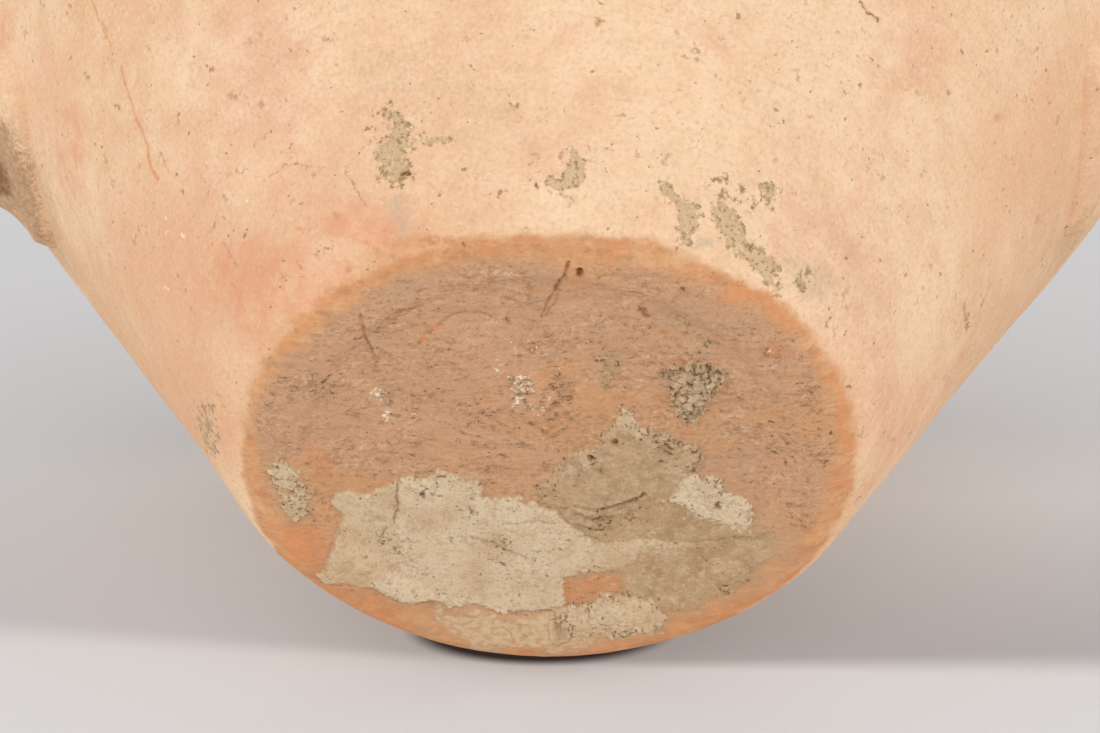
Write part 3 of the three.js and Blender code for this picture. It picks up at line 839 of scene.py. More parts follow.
def slip_design(points):
    """Depth in millimetres inside the brown and the red slip, negative outside."""
    radius, turn = around(points)
    height = points[:, 2] + BAND_WOBBLE * lumps(points, BAND_WOBBLE_SIZE, SEED + 4)
    slant = JAR_LINE.distance_at(height)
    bands = [[half - np.abs(slant - JAR_LINE.distance_at(level)) for level, half in levels]
             for levels in (BROWN_BANDS, RED_BANDS)]
    swag = FESTOON_DROP * (1 - np.abs(np.cos(turn * FESTOON_COUNT / 2)) ** FESTOON_POWER)
    festoon = FESTOON_HALF_WIDTH - 0.8 * np.abs(height - FESTOON_HEIGHT + swag)
    low, high = (JAR_LINE.distance_at(level) for level in REGISTER_HEIGHTS)
    register = np.minimum(slant - low, high - slant)
    tooth_count = np.maximum(np.round(FULL_TURN * radius.mean() / TOOTH_PITCH), 1)
    teeth = TOOTH_HEIGHT * triangle_wave(turn / FULL_TURN * tooth_count)
    saw = np.minimum(0.6 * (teeth - register), register + 1.0)
    brown = np.max([*bands[0], festoon, saw], axis=0)
    red = np.max(bands[1], axis=0)

    step = FULL_TURN / ROUNDEL_COUNT
    nearest = np.round(turn / step) * step
    middle = JAR_LINE.radius_at(ROUNDEL_HEIGHT)
    level = np.full(len(points), ROUNDEL_HEIGHT)
    centre = np.column_stack([middle * np.sin(nearest), -middle * np.cos(nearest), level])
    apart = np.linalg.norm(points - centre, axis=1)
    apart += RING_WOBBLE * lumps(points, RING_WOBBLE_SIZE, SEED + 5)
    outer, inner, red_ring = (half - np.abs(apart - share * ROUNDEL_RADIUS)
                              for share, half in (OUTER_RING, INNER_RING, RED_RING))
    across = (turn - nearest) * middle
    up = slant - JAR_LINE.distance_at(ROUNDEL_HEIGHT)
    weave = [LATTICE_PITCH / 2 * triangle_wave((across + sign * up) / LATTICE_PITCH / DIAGONAL)
             for sign in (-1, 1)]
    lattice = np.minimum(LATTICE_LINE - np.minimum(*weave),
                         LATTICE_RADIUS_SHARE * ROUNDEL_RADIUS - apart)
    between = np.abs((turn - nearest - np.sign(turn - nearest) * step / 2) * radius)
    pillar = np.minimum(PILLAR_HALF_WIDTH - np.abs(between - PILLAR_OFFSET),
                        register - PILLAR_MARGIN)
    flare = np.abs(up + HOURGLASS_DROP) * HOURGLASS_FLARE + HOURGLASS_WAIST
    hourglass = np.minimum(0.5 * (flare - between), register - HOURGLASS_MARGIN)
    in_register = register > 0
    brown = np.where(in_register, np.max([brown, outer, inner, lattice, pillar], axis=0), brown)
    red = np.where(in_register, np.max([red, red_ring, hourglass], axis=0), red)

    neck = height > NECK_ROOT_HEIGHT + 1
    zigzag = ZIGZAG_FOOT + ZIGZAG_HEIGHT * triangle_wave(turn / FULL_TURN * ZIGZAG_COUNT)
    rise = height - NECK_ROOT_HEIGHT
    brown = np.where(neck, NECK_LINE - 0.6 * np.abs(rise - zigzag), brown)
    red = np.where(neck, NECK_LINE + 0.1 - np.abs(rise - NECK_BAND_RISE), red)
    tick = np.abs(triangle_wave(turn / FULL_TURN * LIP_TICK_COUNT) - 0.5)
    lip = np.where(radius < MOUTH_RADIUS - LIP_WIDTH, 2.0 - LIP_TICK_SIZE * tick,
                   height - NECK_TOP - RIM_HEIGHT + LIP_BAND)
    brown = np.where(height > NECK_TOP + 1, lip, brown)
    return np.clip(np.column_stack([brown, red]), -SLIP_REACH, SLIP_REACH)


# Relief of the clay by hand

HEEL_BAND_TURNS = [-180, -150, -125, -110, -90, -45, 0, 45, 90, 135, 180]
HEEL_BAND_RADII = [61.0, 61.0, 60.4, 57.6, 55.4, 54.2, 54.0, 55.8, 56.6, 58.4, 61.0]
HEEL_BAND_SOFTNESS = 2.2
# Depth and size of each kind of unevenness
HAND_SWELLS = (0.45, 46.0)
HAND_DENTS = (0.16, 13.0)
WIPING_MARKS = (0.05, (7.0, 7.0, 1.6))
FINE_PULL = (0.03, 1.6)
LONG_DRAGS = (0.05, (22.0, 1.5, 5.0))
BROAD_DRAGS = (0.07, 5.0)
GRIT_MARKS = (0.035, 1.1)
BAND_WANDER = (0.5, 9.0)
BAND_SHIVER = (0.5, 3.0)
# Height at which the underside turns into the wall, and where the scraped face fades out
UNDERSIDE_TOP = (2.0, 4.0)
FACE_EDGE = (-2.6, 3.0)
TORN_EVERYWHERE = 0.35
GRIT_HEIGHT = 0.4
CHIP_DEPTH = 0.5


def unevenness(points, kind, seed, octaves):
    """Height in millimetres that one kind of unevenness gives each point."""
    depth, size = kind
    return depth * rough(points, size, SEED + seed, octaves)


def clay_relief(points):
    """Slow hand-made unevenness and the fine pull of a wiped surface."""
    shaped = unevenness(points, HAND_SWELLS, 0, 1) + unevenness(points, HAND_DENTS, 8, 1)
    return shaped + unevenness(points, WIPING_MARKS, 9, 2) + unevenness(points, FINE_PULL, 10, 2)


def heel_wear(skin):
    """The scraped face of the base and the orange band between it and the rubbed corner."""
    points = skin.points
    radius, turn = around(points)
    seen_depth = outline_depth(*skin.shaken(OUTLINE_SHAKE), SCRAPED_FACE) / PIXELS_PER_MM
    inside = np.where(skin.faces_camera, seen_depth, DISC_RADIUS - radius)
    under = 1 - smooth_step(points[:, 2], *UNDERSIDE_TOP)
    skin.paint["face"] = under * smooth_step(inside, *FACE_EDGE)
    outer = radius + unevenness(points, BAND_WANDER, 12, 3) + unevenness(points, BAND_SHIVER, 13, 3)
    outer -= np.interp(np.degrees(turn), HEEL_BAND_TURNS, HEEL_BAND_RADII)
    band = 1 - smooth_step(outer, -HEEL_BAND_SOFTNESS, HEEL_BAND_SOFTNESS)
    skin.paint["heel"] = np.maximum(skin.paint["heel"], band)


def scrape(skin):
    """Drag lines and torn clusters of a base that was scraped flat, with lime in some of them."""
    face, points = skin.paint["face"], skin.points
    drag = unevenness(points, LONG_DRAGS, 20, 3) + unevenness(points, BROAD_DRAGS, 21, 3)
    skin.height += face * (drag + unevenness(points, GRIT_MARKS, 24, 2))
    torn = TORN_EVERYWHERE * face * smooth_step(rough(points, 9.0, SEED + 26, 3), -0.2, 0.7)
    for x, y, radius, strength in TORN_CLUSTERS:
        torn = np.maximum(torn, strength * skin.near_share(x, y, radius))
    skin.paint["torn"] = torn
    chips = np.clip(rough(points, (2.0, 1.2, 1.6), SEED + 22, 3) - 0.3, 0, 1) * torn
    grit = np.clip(rough(points, 0.9, SEED + 23, 2) - 0.5, 0, 1) * torn
    skin.height += GRIT_HEIGHT * grit - CHIP_DEPTH * chips
    for x, y, radius, strength in CHALKY_CLUSTERS:
        lime = strength * skin.near_share(x, y, radius)
        skin.paint["chalk"] = np.maximum(skin.paint["chalk"], lime)


def mark_wall(skin):
    for outline, name, strength, height, soft in STAIN_AND_SHADE_PATCHES:
        skin.patch(outline, name, strength, height, soft, OUTLINE_SHAKE)
    for outline, strength, soft in BLUSH_PATCHES:
        skin.patch(outline, "blush", strength, 0.0, soft, BLUSH_SHAKE)
    skin.draw(WALL_SCRATCHES, WALL_PITS)


def mark_base(skin):
    heel_wear(skin)
    scrape(skin)
    for outline, name, strength, height in BASE_PATCHES:
        skin.patch(outline, name, strength, height, BASE_PATCH_SOFTNESS, BASE_PATCH_SHAKE)
    skin.draw(BASE_SCRATCHES_AND_SHADOW_LINES, BASE_PITS)


def mark_heel(skin):
    mark_wall(skin)
    mark_base(skin)


# Meshes

def new_mesh(name, points, faces, normals=None):
    """A smooth mesh from points in millimetres and lists of quads or triangles."""
    mesh = bpy.data.meshes.new(name)
    corners = np.concatenate([block.ravel() for block in faces])
    sizes = np.concatenate([np.full(len(block), block.shape[1]) for block in faces])
    starts = np.concatenate([[0], np.cumsum(sizes)[:-1]])
    mesh.vertices.add(len(points))
    mesh.vertices.foreach_set("co", (points * MM).astype(np.float32).ravel())
    mesh.loops.add(len(corners))
    mesh.loops.foreach_set("vertex_index", corners.astype(np.int32))
    mesh.polygons.add(len(sizes))
    mesh.polygons.foreach_set("loop_start", starts.astype(np.int32))
    mesh.update(calc_edges=True)
    mesh.validate()
    mesh.polygons.foreach_set("use_smooth", np.ones(len(mesh.polygons), bool))
    if normals is not None:
        mesh.normals_split_custom_set_from_vertices(normals.astype(np.float32))
    return mesh


def write_colours(mesh, name, columns):
    """Stores up to four values a point as a colour attribute, and nought past a column's end."""
    values = np.zeros((len(mesh.vertices), 4), np.float32)
    for index, column in enumerate(columns):
        values[:len(column), index] = column
    layer = mesh.attributes.new(name, "FLOAT_COLOR", "POINT")
    layer.data.foreach_set("color", values.ravel())


def write_skin(mesh, paint, slip):
    for name, channels in CHANNELS.items():
        write_colours(mesh, name, [paint[channel] for channel in channels])
    write_colours(mesh, "slip", slip.T)


def grid_quads(shape):
    """The corners of each cell of a grid of points."""
    number = np.arange(shape[0] * shape[1]).reshape(shape)
    corners = [number[:-1, :-1], number[:-1, 1:], number[1:, 1:], number[1:, :-1]]
    return np.stack(corners, axis=-1)


def place(name, mesh, material, slot, nodes=()):
    """Puts a finished mesh in the scene, in place of the CAD nodes that it stands for."""
    piece = new_object(name, mesh)
    if not mesh.materials:
        mesh.materials.append(material)
    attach(piece, BODY)
    for node in nodes:
        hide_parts(node)


# Turned pieces

FRONT_COLUMNS = 760
BACK_COLUMNS = 180
FRONT_REACH = math.radians(92)
HEEL_ROWS = 84
NECK_ROWS = 36
RIM_ROWS = 60
LINING_ROWS = 6
NECK_LINING_STRIDE = 8
INSIDE_SAMPLES = 600
COIL_ROWS = {
    "wall_coil_1": 98, "wall_coil_2": 62, "wall_coil_3": 46, "wall_coil_4": 26, "wall_coil_5": 24,
    "belly_coil": 34, "shoulder_coil_1": 40, "shoulder_coil_2": 38, "shoulder_coil_3": 36,
    "shoulder_coil_4": 36}


def turn_angles():
    """Angles round the jar, close together on the side that the photograph shows."""
    front = np.linspace(-FRONT_REACH, FRONT_REACH, FRONT_COLUMNS, endpoint=False)
    back = np.linspace(FRONT_REACH, FULL_TURN - FRONT_REACH, BACK_COLUMNS, endpoint=False)
    return np.concatenate([front, back]) + CAMERA_TURN


ANGLES = turn_angles()


def revolve(line_points):
    """Sweeps radius and height points round the jar: rows along the line, columns round it."""
    radius, height = line_points[:, 0, None], line_points[:, 1, None]
    level = np.broadcast_to(height, (len(height), len(ANGLES)))
    return np.stack([radius * np.sin(ANGLES), -radius * np.cos(ANGLES), level], axis=-1)


def grid_normals(points):
    """Normals of a closed ring grid, from the points beside each one."""
    along = np.gradient(points, axis=0)
    across = np.roll(points, -1, axis=1) - np.roll(points, 1, axis=1)
    normals = np.cross(across, along)
    return normals / np.linalg.norm(normals, axis=-1)[..., None]


def ring_faces(rows):
    """Quads of a section that closes on itself, from its rows of points round the jar."""
    column = np.arange(len(ANGLES))
    following = np.roll(column, -1)
    starts = np.arange(rows) * len(ANGLES)
    return np.vstack([
        np.column_stack([first + column, first + following, second + following, second + column])
        for first, second in zip(starts, np.roll(starts, -1))])


def outer_skin(line, distances, marks):
    """The displaced outer surface along a line, its normals, its marks and its slip."""
    step_low, step_high = distances[1] - distances[0], distances[-1] - distances[-2]
    # A spare row at each end gives the seams their normals
    spread = np.concatenate([[distances[0] - step_low], distances, [distances[-1] + step_high]])
    flat, facing = line.at(spread)
    points, normals = revolve(flat), revolve(facing)
    skin = Skin(points, normals)
    skin.height += clay_relief(skin.points)
    marks(skin)
    moved = points + normals * skin.height.reshape(skin.shape)[..., None]
    keep = slice(1, -1)
    paint = {name: values.reshape(skin.shape)[keep].ravel() for name, values in skin.paint.items()}
    slip = slip_design(skin.points).reshape(*skin.shape, 2)[keep].reshape(-1, 2)
    return moved[keep], grid_normals(moved)[keep], paint, slip


def turned_piece(name, line, distances, inside, material, slot, marks=mark_wall):
    """A ring of the jar: a detailed outer skin and a plain inside, closed at its two seams."""
    outer, outer_normals, paint, slip = outer_skin(line, distances, marks)
    lining = revolve(inside[::-1])
    points = np.concatenate([outer, lining]).reshape(-1, 3)
    normals = np.concatenate([outer_normals, grid_normals(lining)]).reshape(-1, 3)
    mesh = new_mesh(name, points, [ring_faces(len(outer) + len(lining))], normals)
    bare = np.full((len(points) - len(slip), 2), -SLIP_REACH)
    write_skin(mesh, paint, np.concatenate([slip, bare]))
    place(f"{name}_skin", mesh, material, slot, [name])


def inside_line(low, high):
    """The inner face of the wall between two heights."""
    flat, facing = JAR_LINE.at(np.linspace(0, JAR_LINE.length, INSIDE_SAMPLES))
    offset = flat - facing * WALL_THICKNESS
    keep = np.concatenate([[True], np.diff(np.maximum.accumulate(offset[:, 1])) > 0])
    heights = np.linspace(low, high, LINING_ROWS)
    return np.column_stack([np.interp(heights, offset[keep, 1], offset[keep, 0]), heights])


def add_heel(material):
    top = node_top("heel_coil")
    inner, step = DISC_RADIUS - LEDGE_REACH, BASE_THICKNESS + LEDGE_STEP
    ledge = [(DISC_RADIUS, BASE_THICKNESS), (inner, BASE_THICKNESS), (inner, step)]
    inside = np.vstack([ledge, inside_line(step, top)[1:]])
    distances = np.linspace(0, JAR_LINE.distance_at(top), HEEL_ROWS)
    turned_piece("heel_coil", JAR_LINE, distances, inside, material, "heel_clay", mark_heel)


def add_coils(material_wall, material_slip):
    low = node_top("heel_coil")
    for name, rows in COIL_ROWS.items():
        high = node_top(name)
        distances = np.linspace(JAR_LINE.distance_at(low), JAR_LINE.distance_at(high), rows)
        painted_coil = not name.startswith("wall_coil")
        material = material_slip if painted_coil or name == "wall_coil_5" else material_wall
        slot = "painted_clay" if painted_coil else "wall_clay"
        turned_piece(name, JAR_LINE, distances, inside_line(low, high), material, slot)
        low = high


def add_neck(material):
    line = Line(neck_line())
    inside = line.points[::NECK_LINING_STRIDE] - (NECK_THICKNESS, 0)
    distances = np.linspace(0, line.length, NECK_ROWS)
    turned_piece("neck_collar", line, distances, inside, material, "painted_clay")


def add_rim(material):
    line = Line(rim_line())
    shares = np.array((0.25, 0.5, 0.75))
    foot = np.column_stack([NECK_RADIUS - shares * NECK_THICKNESS, np.full(3, NECK_TOP)])
    distances = np.linspace(0, line.length, RIM_ROWS)
    turned_piece("mouth_rim", line, distances, foot, material, "painted_clay")


# The base disc

BASE_GRID = 300


def disc_grid(steps, radius):
    """A square grid pressed into a disc, with nearly even spacing."""
    side = np.linspace(-1, 1, steps + 1)
    a, b = np.meshgrid(side, side, indexing="ij")
    wide = np.abs(a) > np.abs(b)
    reach = np.where(wide, a, b)
    other = np.where(wide, b, a)
    angle = math.pi / 4 * np.divide(other, reach, out=np.zeros_like(other), where=reach != 0)
    near, far = reach * np.cos(angle), reach * np.sin(angle)
    return radius * np.where(wide, near, far), radius * np.where(wide, far, near)


def underside_height(x, y):
    """Height of the clay under the jar: the hollow, the foot ring and the rounded heel."""
    radius = np.hypot(x, y)
    hollow = RECESS_DEPTH * (1 - smooth_step(radius, RECESS_RADIUS, RING_INNER_RADIUS))
    heel = np.interp(radius, *JAR_LINE.points[:HEEL_STEPS].T)
    return np.where(radius < DISC_RADIUS, hollow, heel)


def underside_skin(x, y):
    """The unworked skin of the clay under the jar, at some places on it."""
    flat = np.stack([x, y, underside_height(x, y)], axis=-1)
    return Skin(flat, np.zeros_like(flat) - (0, 0, 1))


def add_base(material):
    x, y = disc_grid(BASE_GRID, DISC_RADIUS)
    skin = underside_skin(x, y)
    skin.height += clay_relief(skin.points)
    mark_base(skin)
    under = (skin.points + skin.normals * skin.height[:, None]).reshape(*x.shape, 3)
    across = np.cross(np.gradient(under, axis=1), np.gradient(under, axis=0))
    across /= np.linalg.norm(across, axis=-1)[..., None]
    number = np.arange(x.size).reshape(x.shape)
    loop = np.concatenate([number[:-1, 0], number[-1, :-1], number[:0:-1, -1], number[0, :0:-1]])
    rim = under.reshape(-1, 3)[loop] * (1, 1, 0) + (0, 0, BASE_THICKNESS)
    upper = x.size + np.arange(len(loop))
    centre = np.full(len(loop), x.size + len(loop))
    wall = np.column_stack([loop, np.roll(loop, -1), np.roll(upper, -1), upper])
    lid = np.column_stack([upper, np.roll(upper, -1), centre])
    points = np.concatenate([under.reshape(-1, 3), rim, [(0, 0, BASE_THICKNESS)]])
    up = np.tile((0.0, 0.0, 1.0), (len(loop) + 1, 1))
    faces = [grid_quads(x.shape).reshape(-1, 4), wall, lid]
    mesh = new_mesh("base_disc", points, faces, np.concatenate([across.reshape(-1, 3), up]))
    write_skin(mesh, skin.paint, skin.slip)
    place("base_disc_skin", mesh, material, "base_clay", ["base_disc"])


# Hardened soil under the base

CRUST_STEP = 0.32
CRUST_MARGIN = 3.0
CRUST_ROOT = 0.45
CRUST_BURIED = 0.22
CRUST_LIMIT = 56.5
CREVICE_SHADE = 0.42
CLOD_SIZE = 1.15
CLOD_HEIGHT = 0.7
MEAN_CLOD, EDGE_CLOD = 0.4, 0.45
SWELL_SHARE = 0.2
# Pixels in from a bed's outline over which its edge crumbles, and how far clods shift that edge
CRUMBLY_EDGE = (2, 13)
EDGE_SHIFT = 6
# Height over which one bed's look passes into the next
BED_BLEND = 0.25
# Least height over the buried level that counts as soil
SOLID_MARGIN = 1e-6
# Thickness at which the soil hides the clay
COVERING_DEPTH = 0.5
CRUSTS = {
    "soil_crust_main": (MAIN_CRUST, ["soil_crust_main"]),
    "soil_crust_lump": (LUMP_CRUST, ["soil_crust_lump"]),
    "soil_crust_small": (SMALL_CRUST, ["soil_crust_small"]),
    "soil_crust_side": (SIDE_CRUST, []),
    "soil_crust_edge": (EDGE_CRUST, []),
}


def outline_on_base(outline):
    """Pixel places cast on the plane of the hollow."""
    rays = np.array([photo_ray(*place) for place in outline])
    travel = (RECESS_DEPTH - CAMERA_PLACE[2]) / rays[:, 2]
    return (CAMERA_PLACE + rays * travel[:, None])[:, :2]


def crust_thickness(skin, beds):
    """Thickness, paleness and crumbliness of the soil. Shade in its crevices is painted dark."""
    thick = np.full(len(skin.points), -CRUST_BURIED)
    pale, crumbly, crevice = np.zeros((3, len(skin.points)))
    x, y = skin.shaken(OUTLINE_SHAKE)
    clods = np.abs(rough(skin.points, CLOD_SIZE, SEED + 31, 2))
    broken_up = smooth_step(rough(skin.points, 7.0, SEED + 34, 2), 0.0, 0.7)
    swell = lumps(skin.points, 9.0, SEED + 33)
    for outline, depth, paleness, granular, soft in beds:
        inside = outline_depth(x, y, outline)
        edge = 1 - smooth_step(inside, *CRUMBLY_EDGE)
        inside = inside + EDGE_SHIFT * np.minimum(granular, 1) * edge * (clods - EDGE_CLOD)
        rise = smooth_step(inside, -0.5 * soft, soft)
        loose = 0.15 + 0.45 * np.clip(broken_up, granular - 1.4, 1) + 0.5 * edge
        knobbly = granular * loose
        crown = depth * (1 + SWELL_SHARE * swell) + CLOD_HEIGHT * knobbly * (clods - MEAN_CLOD)
        level = rise * (crown + CRUST_BURIED) - CRUST_BURIED
        above = level > thick
        blend = np.where(thick > 0, smooth_step(level - thick, 0.0, BED_BLEND), 1)
        pale = np.where(above, pale + (paleness - pale) * blend, pale)
        crumbly = np.where(above, np.clip(knobbly, 0, 1), crumbly)
        crevice = np.where(above, knobbly * (1 - smooth_step(clods, 0.02, 0.22)), crevice)
        thick = np.maximum(thick, level)
    off_heel = smooth_step(around(skin.points)[0], CRUST_LIMIT - 2.0, CRUST_LIMIT)
    # Painted shade in the crevices between the clods
    skin.paint["dark"] = np.clip(CREVICE_SHADE * crevice * (thick > 0), 0, 0.9)
    return thick - off_heel * (thick + CRUST_BURIED), pale, crumbly


def crust_mesh(name, beds):
    """A closed flake whose face follows the soil's layers and whose back is sunk in the clay."""
    corners = np.vstack([outline_on_base(outline) for outline, *_ in beds])
    low, high = corners.min(axis=0) - CRUST_MARGIN, corners.max(axis=0) + CRUST_MARGIN
    x, y = np.meshgrid(*(np.arange(*ends, CRUST_STEP) for ends in zip(low, high)), indexing="ij")
    skin = underside_skin(x, y)
    clay = skin.points[:, 2] - clay_relief(skin.points)
    thick, pale, crumbly = crust_thickness(skin, beds)
    skin.draw(CRUST_STROKES, CRUST_PITS)
    for *pixel, reach, strength in CRUST_PITTED:
        crumbly = np.maximum(crumbly, strength * skin.near_share(*pixel, reach))
    solid = (thick > -CRUST_BURIED + SOLID_MARGIN).reshape(x.shape)
    cells = solid[:-1, :-1] | solid[1:, :-1] | solid[1:, 1:] | solid[:-1, 1:]
    quad = grid_quads(x.shape)[cells]
    edges = np.concatenate([quad[:, [a, b]] for a, b in ((0, 1), (1, 2), (2, 3), (3, 0))])
    keys = set(map(tuple, edges.tolist()))
    start, end = np.array([edge for edge in edges.tolist() if (edge[1], edge[0]) not in keys]).T
    side = np.column_stack([end, start, start + x.size, end + x.size])
    faces = np.vstack([quad, quad[:, ::-1] + x.size, side])
    front = clay - thick - np.where(thick > 0, skin.height, 0)
    points = np.vstack([np.column_stack([x.ravel(), y.ravel(), level])
                        for level in (front, clay + CRUST_ROOT)])
    used = np.unique(faces)
    renumber = np.full(len(points), -1)
    renumber[used] = np.arange(len(used))
    mesh = new_mesh(name, points[used], [renumber[faces]])
    values = (pale, smooth_step(thick, 0.0, COVERING_DEPTH), skin.paint["dark"], crumbly)
    write_colours(mesh, "crust", [np.tile(value, 2)[used] for value in values])
    return mesh


def add_crusts(material):
    for name, (beds, nodes) in CRUSTS.items():
        place(f"{name}_skin", crust_mesh(name, beds), material, "soil", nodes)


# Node building

PLUS = ("ShaderNodeMath", {"operation": "ADD"})
MINUS = ("ShaderNodeMath", {"operation": "SUBTRACT"})
TIMES = ("ShaderNodeMath", {"operation": "MULTIPLY"})
LARGER = ("ShaderNodeMath", {"operation": "MAXIMUM"})
POWER = ("ShaderNodeMath", {"operation": "POWER"})
SIZE = ("ShaderNodeMath", {"operation": "ABSOLUTE"})
EASE = ("ShaderNodeMapRange", {"interpolation_type": "SMOOTHSTEP"})
BLEND = ("ShaderNodeMix", {"data_type": "RGBA"})
BLENDED = 2


def add(tree, recipe, inputs=(), out=0, **settings):
    """Adds a node with its settings, sets or links its inputs, and gives one of its outputs.

    An input is a value, a socket, or a tuple of another recipe and that node's own inputs.
    """
    kind, usual = recipe if isinstance(recipe, tuple) else (recipe, {})
    node = tree.nodes.new(kind)
    for name, value in (usual | settings).items():
        setattr(node, name, value)
    for key, value in inputs.items() if isinstance(inputs, dict) else enumerate(inputs):
        if isinstance(value, tuple) and isinstance(value[0], (tuple, str)):
            value = add(tree, value[0], value[1:])
        if isinstance(value, bpy.types.NodeSocket):
            tree.links.new(value, node.inputs[key])
        else:
            node.inputs[key].default_value = value
    return node.outputs[out] if node.outputs else None


def start_material(name):
    material = bpy.data.materials.new(name)
    material.use_nodes = True
    material.node_tree.nodes.clear()
    return material, material.node_tree


# Grains of each material: size in millimetres, detail, roughness and stretch along X, Y and Z
CLAY_GRAINS = {
    "fine": (0.85, 4, 0.7), "grain": (5, 5, 0.65), "sponge": (1.7, 4, 0.7),
    "streaks": (2.4, 4, 0.65, (0.5, 1, 1))}
WIPED_GRAINS = {
    "cloud": (62, 3, 0.6), "rosy": (38, 4, 0.6), "wiping": (11, 5, 0.65, (1, 1, 5)),
    "gathered": (17, 2, 0.6), "specks": (3.4, 4, 0.65), "pores": (1.9, 2, 0.6)}
SCRAPED_GRAINS = {
    "drag": (2.6, 5, 0.7, (0.16, 1, 1)), "tone": (13, 4, 0.6, (0.6, 1, 1)),
    "warm": (24, 4, 0.6, (0.6, 1, 1)), "mottle": (1.9, 4, 0.7, (0.7, 1, 1)),
    "zones": (8, 3, 0.6, (0.6, 1, 1)), "flakes": (1, 3, 0.65, (0.7, 1, 1)),
    "edge": (2.6, 5, 0.7, (0.3, 1, 1))}
SLIP_GRAINS = {"wear": (9, 6, 0.7)}
SOIL_GRAINS = {
    "grain": (4.5, 6, 0.7), "fine": (0.7, 4, 0.72), "sandy": (1.6, 4, 0.7), "holes": (1, 3, 0.7),
    "tan": (9, 4, 0.6)}


def grains(tree, table):
    """Noise in the piece's own coordinates for each grain of a table, by name."""
    where = add(tree, "ShaderNodeTexCoord", out="Object")
    found = SimpleNamespace()
    for name, (size, detail, roughness, *stretch) in table.items():
        spot = where
        if stretch:
            spot = add(tree, "ShaderNodeMapping", {"Vector": where, "Scale": stretch[0]})
        setattr(found, name, add(tree, "ShaderNodeTexNoise", {
            "Vector": spot, "Scale": 1 / (size * MM), "Detail": detail, "Roughness": roughness}))
    return found


def layered(tree, ground, *layers):
    """Lays colours over a ground, one after another, each by the product of its shares."""
    for colour, share, *more in layers:
        for factor in more:
            share = (TIMES, share, factor)
        under, over = (linear(c) if isinstance(c, str) else c for c in (ground, colour))
        ground = add(tree, BLEND, {0: share, 6: under, 7: over}, BLENDED)
    return ground


def ragged(tree, mask, grain, reach, low, high, strength=1.0):
    """A painted mask whose edge is broken up by a grain."""
    level = (PLUS, mask, (TIMES, (MINUS, grain, 0.5), reach))
    return add(tree, EASE, (level, low, high, 0.0, strength))


def painted(tree, attribute):
    """The four values of a painted attribute."""
    colour = add(tree, "ShaderNodeAttribute", out="Color", attribute_name=attribute)
    parts = add(tree, "ShaderNodeSeparateColor", (colour,)).node.outputs
    return [*parts[:3], colour.node.outputs["Alpha"]]


def dress(tree, colour, roughness, height, relief_mm, specular):
    """Ends a material with its colour, dullness, sheen and fine relief."""
    normal = add(tree, "ShaderNodeBump", {
        "Strength": 1.0, "Distance": relief_mm * MM, "Height": height})
    shader = add(tree, "ShaderNodeBsdfPrincipled", {
        "Base Color": colour, "Roughness": roughness, "Normal": normal,
        "Specular IOR Level": specular})
    add(tree, "ShaderNodeOutputMaterial", {"Surface": shader})


def wiped_ground(tree, clay):
    """Cream to rose clouds from the kiln, with wiping marks, grit and sparse open pores."""
    own = grains(tree, WIPED_GRAINS)
    specks = add(tree, TIMES, ((EASE, own.gathered, 0.42, 0.62), (EASE, own.specks, 0.60, 0.70)))
    pores = add(tree, EASE, (own.pores, 0.69, 0.75))
    colour = layered(
        tree, BUFF,
        (CREAM, (EASE, own.cloud, 0.40, 0.60)),
        (ROSE, (EASE, own.rosy, 0.52, 0.74, 0.0, 0.65)),
        (WALL_DARK, (EASE, own.wiping, 0.51, 0.66, 0.0, 0.16)),
        (WALL_LIGHT, (EASE, clay.grain, 0.50, 0.64, 0.0, 0.20)),
        (WALL_DARK, (EASE, clay.grain, 0.47, 0.34, 0.0, 0.18)),
        (WALL_DARK, (EASE, clay.fine, 0.50, 0.64, 0.0, 0.30)),
        (WALL_LIGHT, (EASE, clay.fine, 0.46, 0.34, 0.0, 0.26)),
        (WALL_SPECK, specks, 0.55),
        (PORE_AND_SHADE_BROWN, pores, 0.5))
    height = (PLUS, (TIMES, clay.fine, 0.5), (TIMES, own.wiping, 0.5))
    return colour, add(tree, MINUS, (height, (TIMES, (PLUS, pores, specks), 0.4)))


